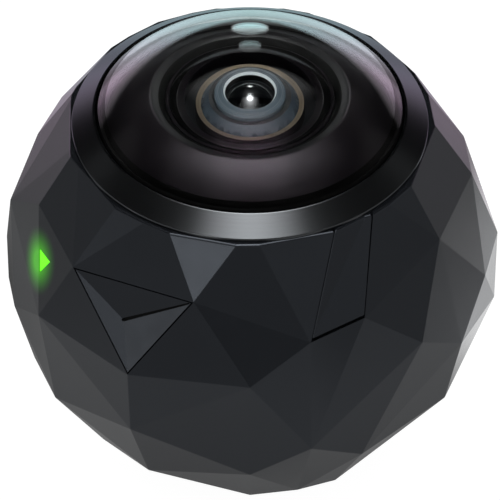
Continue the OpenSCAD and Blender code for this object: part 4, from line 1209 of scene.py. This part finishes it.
class BALLCAM_OT_housing(bpy.types.Operator):
    """Turns the black cone under the dome, with the lip round the second lens."""

    bl_idname = "ballcam.housing"
    bl_label = "Lens housing"

    def execute(self, context):
        bore_r = BARREL_R + FIT
        skirt_in_r = MOUTH_R - SKIRT_T
        profile = [
            (bore_r, BOSS_Z), (BOSS_R, BOSS_Z), (BOSS_R, POCKET_TOP_Z), (skirt_in_r, POCKET_TOP_Z),
            (skirt_in_r, CEILING_Z), (MOUTH_R, CEILING_Z), (MOUTH_R, SHELF_Z),
            (SPIGOT_R, SHELF_Z), (SPIGOT_R, FLANGE_TOP_Z), (GLASS_R, FLANGE_TOP_Z), (GLASS_R, SEAT_Z),
        ]
        for i in range(FLANK_STEPS + 1):
            t = i / FLANK_STEPS
            rise = SEAT_Z + (CREST_Z - SEAT_Z) * t + FLANK_BULGE * math.sin(math.pi * t)
            profile.append((FLANK_FOOT_R + (CREST_R - FLANK_FOOT_R) * t, rise))
        profile += [(CREST_R - inwards, CREST_Z - down) for inwards, down in LIP_STEPS]
        profile += [
            (SECOND_SEAT_R, SECOND_EDGE_Z - LIP_FOOT), (SECOND_SEAT_R, SECOND_BACK_Z),
            (bore_r, SECOND_BACK_Z), (bore_r, BOSS_Z),
        ]
        cone = lathe("lens_cone", profile, context.scene.ball_lens.steps, angle=40)
        hand_over(cone, "housing_black", "body", "lens_housing")
        paint(cone, "crest_satin", on_lip)
        # The lip's steep inner slope gets painted shade: dull near-black where the lip falls into the
        # groove round the second lens
        paint(cone, "edge_black_and_painted_shade", on_lip_inside)
        return {"FINISHED"}


class BALLCAM_OT_lenses(bpy.types.Operator):
    """Turns the second and third lenses."""

    bl_idname = "ballcam.lenses"
    bl_label = "Inner lenses"

    def execute(self, context):
        steps = context.scene.ball_lens.steps
        crown = cap(SECOND_R, SECOND_EDGE_Z, SECOND_TOP_Z - SECOND_EDGE_Z, 0, SECOND_R, steps=40)
        rise = SECOND_TOP_Z - SECOND_T - SECOND_BACK_Z
        hollow = cap(SECOND_HOLLOW_R, SECOND_BACK_Z, rise, SECOND_HOLLOW_R, 0, steps=40)
        second = lathe("second_glass", crown + [(SECOND_R, SECOND_BACK_Z)] + hollow, steps, angle=25)
        hand_over(second, "lens_glass", "body", "second_lens")
        second.data.materials[0] = finish("second_glass")
        paint(second, "edge_black_and_painted_shade", ground)
        crown = cap(THIRD_R, NOSE_Z, THIRD_TOP_Z - NOSE_Z, 0, THIRD_R, steps=28)
        third = lathe("third_glass", crown + [(THIRD_R, THIRD_Z), (0, THIRD_Z)], steps, angle=25)
        hand_over(third, "lens_glass", "body", "third_lens")
        return {"FINISHED"}


class BALLCAM_OT_barrel(bpy.types.Operator):
    """Smooths the barrel, and turns the gold ring and the pale retainer on its nose."""

    bl_idname = "ballcam.barrel"
    bl_label = "Barrel rings"

    def execute(self, context):
        steps = context.scene.ball_lens.steps
        barrel = node_copy("lens_barrel", "lens_barrel_body", flatten=False)
        smooth(barrel, angle=15)
        hand_over(barrel, "barrel_metal", "body", "lens_barrel")
        paint(barrel, "nose_satin", on_nose)
        gold = lathe("gold_ring", [
            (GOLD_IN_R, SHOULDER_Z), (GOLD_R, SHOULDER_Z), (GOLD_R, GOLD_TOP_Z),
            (GOLD_IN_R, GOLD_TOP_Z), (GOLD_IN_R, SHOULDER_Z),
        ], steps)
        rounded(gold, width=0.05, angle=40)
        smooth(gold, angle=40)
        hand_over(gold, "gold_metal", "body", "barrel_ring")
        # The gold ring's outer wall gets painted shade: dull near-black under its lit top
        paint(gold, "edge_black_and_painted_shade", on_outer_wall)
        bore_r = THIRD_R + FIT
        pale = lathe("pale_retainer", [
            (bore_r, NOSE_Z), (RETAINER_R, NOSE_Z), (RETAINER_R, RETAINER_EDGE_Z - RETAINER_BREAK),
            (RETAINER_R - RETAINER_BREAK, RETAINER_EDGE_Z), (bore_r + RETAINER_CHAMFER_W, RETAINER_TOP_Z),
            (bore_r, RETAINER_TOP_Z - RETAINER_CHAMFER_H), (bore_r, NOSE_Z),
        ], steps)
        rounded(pale, width=0.04, angle=30)
        smooth(pale, angle=30)
        hand_over(pale, "retainer_metal", "body", "lens_retainer")
        # The retainer's bore gets painted shade: dull near-black round the inner lens
        paint(pale, "edge_black_and_painted_shade", on_inner_wall)
        # The inner chamfer gets near-white paint, a painted highlight round the inner lens
        paint(pale, "painted_highlight_chamfer", on_chamfer)
        return {"FINISHED"}


def shorten_stem(obj, by):
    """Draws the end of the button's stem back by a length in millimetres, clear of the switch."""
    end = min(BUTTON_WAY.dot(face.center) for face in obj.data.polygons) + 0.001 * MM
    pick(obj, "FACE", lambda face: BUTTON_WAY.dot(face.calc_center_median()) < end)
    bpy.ops.transform.translate(value=BUTTON_WAY * by * MM)
    done()


class BALLCAM_OT_controls(bpy.types.Operator):
    """Rounds the button, the microphone cover and the light's window."""

    bl_idname = "ballcam.controls"
    bl_label = "Button, cover and light"

    def execute(self, context):
        look = context.scene.ball_body
        rows = (
            ("button_cap", "press_button", "body_plastic", "button"),
            ("mic_cover", "folded_cover", "body_plastic", "body"),
            ("light_pipe", "light_window", "light_plastic", "body"),
        )
        for node, name, slot, body in rows:
            piece = node_copy(node, name)
            if node == "mic_cover":
                bevel_where(piece, ledge_edge, look.ledge_edge, 3)
            if node == "button_cap":
                shorten_stem(piece, STEM_CUT)
            rounded(piece, look.gap_edge, angle=35)
            hand_over(piece, slot, body, node)
            # The button's crease gets painted shade: dull near-black on its floor and walls
            if node == "button_cap":
                paint(piece, "edge_black_and_painted_shade", in_crease)
        return {"FINISHED"}


class BALLCAM_OT_base(bpy.types.Operator):
    """Turns the threaded bush and rounds the screws and contacts under the base."""

    bl_idname = "ballcam.base"
    bl_label = "Base fittings"

    def execute(self, context):
        flange_top = BUSH_FLANGE_Z + BUSH_FLANGE_T
        bush = lathe("threaded_bush", [
            (0, SOCKET_DEPTH), (THREAD_R, SOCKET_DEPTH), (THREAD_R, SOCKET_CHAMFER_H),
            (THREAD_R + SOCKET_CHAMFER_W, 0), (BUSH_R - BUSH_CHAMFER, 0), (BUSH_R, BUSH_CHAMFER),
            (BUSH_R, BUSH_FLANGE_Z), (BUSH_FLANGE_R, BUSH_FLANGE_Z), (BUSH_FLANGE_R, flange_top),
            (BUSH_R, flange_top), (BUSH_R, BUSH_H), (0, BUSH_H),
        ], context.scene.ball_lens.steps)
        root_r = THREAD_R + THREAD_ROOT
        ridge = thread_ridge("ridge", THREAD_IN_R, root_r, THREAD_START_Z, THREAD_PITCH, THREAD_TURNS)
        join(bush, ridge)
        smooth(bush)
        hand_over(bush, "bush_brass", "body", "tripod_bush")
        rows = (
            ("base_screws", "cap_screws", "screw_steel"),
            ("charging_contacts", "contact_pads", "contact_gold"),
        )
        for node, name, slot in rows:
            piece = node_copy(node, name)
            rounded(piece, width=0.08, angle=40)
            smooth(piece, angle=35)
            hand_over(piece, slot, "body", node)
        return {"FINISHED"}


class BALLCAM_OT_insides(bpy.types.Operator):
    """Gives every solid that stays in view or inside its own finish."""

    bl_idname = "ballcam.insides"
    bl_label = "Finishes of the solids"

    def execute(self, context):
        for part in frame["record"]["subparts"]:
            dress(NODES[part["node"]], part["material_slot"])
        return {"FINISHED"}


class BALLCAM_PT_panel(bpy.types.Panel):
    """Lists the steps and the settings."""

    bl_idname = "BALLCAM_PT_panel"
    bl_label = "Ball Camera"
    bl_space_type = "VIEW_3D"
    bl_region_type = "UI"
    bl_category = "Ball Camera"

    def draw(self, context):
        for step in STEPS:
            self.layout.operator("ballcam." + step)
        for name in SETTINGS:
            settings = getattr(context.scene, name)
            for key in settings.bl_rna.properties.keys():
                if key not in ("rna_type", "name"):
                    self.layout.prop(settings, key)


SETTINGS = {"ball_body": BallBody, "ball_lens": BallLens, "ball_studio": BallStudio}
STEPS = ("stage", "body", "bezel", "dome", "housing", "lenses", "barrel", "controls", "base", "insides")
CLASSES = (
    BallBody, BallLens, BallStudio, BALLCAM_OT_stage, BALLCAM_OT_body, BALLCAM_OT_bezel, BALLCAM_OT_dome,
    BALLCAM_OT_housing, BALLCAM_OT_lenses, BALLCAM_OT_barrel, BALLCAM_OT_controls, BALLCAM_OT_base,
    BALLCAM_OT_insides, BALLCAM_PT_panel,
)


def register():
    """Adds the classes and the settings."""
    for cls in CLASSES:
        bpy.utils.register_class(cls)
    for name, cls in SETTINGS.items():
        setattr(bpy.types.Scene, name, PointerProperty(type=cls))


def unregister():
    """Takes the settings and the classes away."""
    for name in SETTINGS:
        delattr(bpy.types.Scene, name)
    for cls in reversed(CLASSES):
        bpy.utils.unregister_class(cls)


def main():
    """Runs the steps in order."""
    register()
    for step in STEPS:
        getattr(bpy.ops.ballcam, step)()


if __name__ == "__main__":
    main()
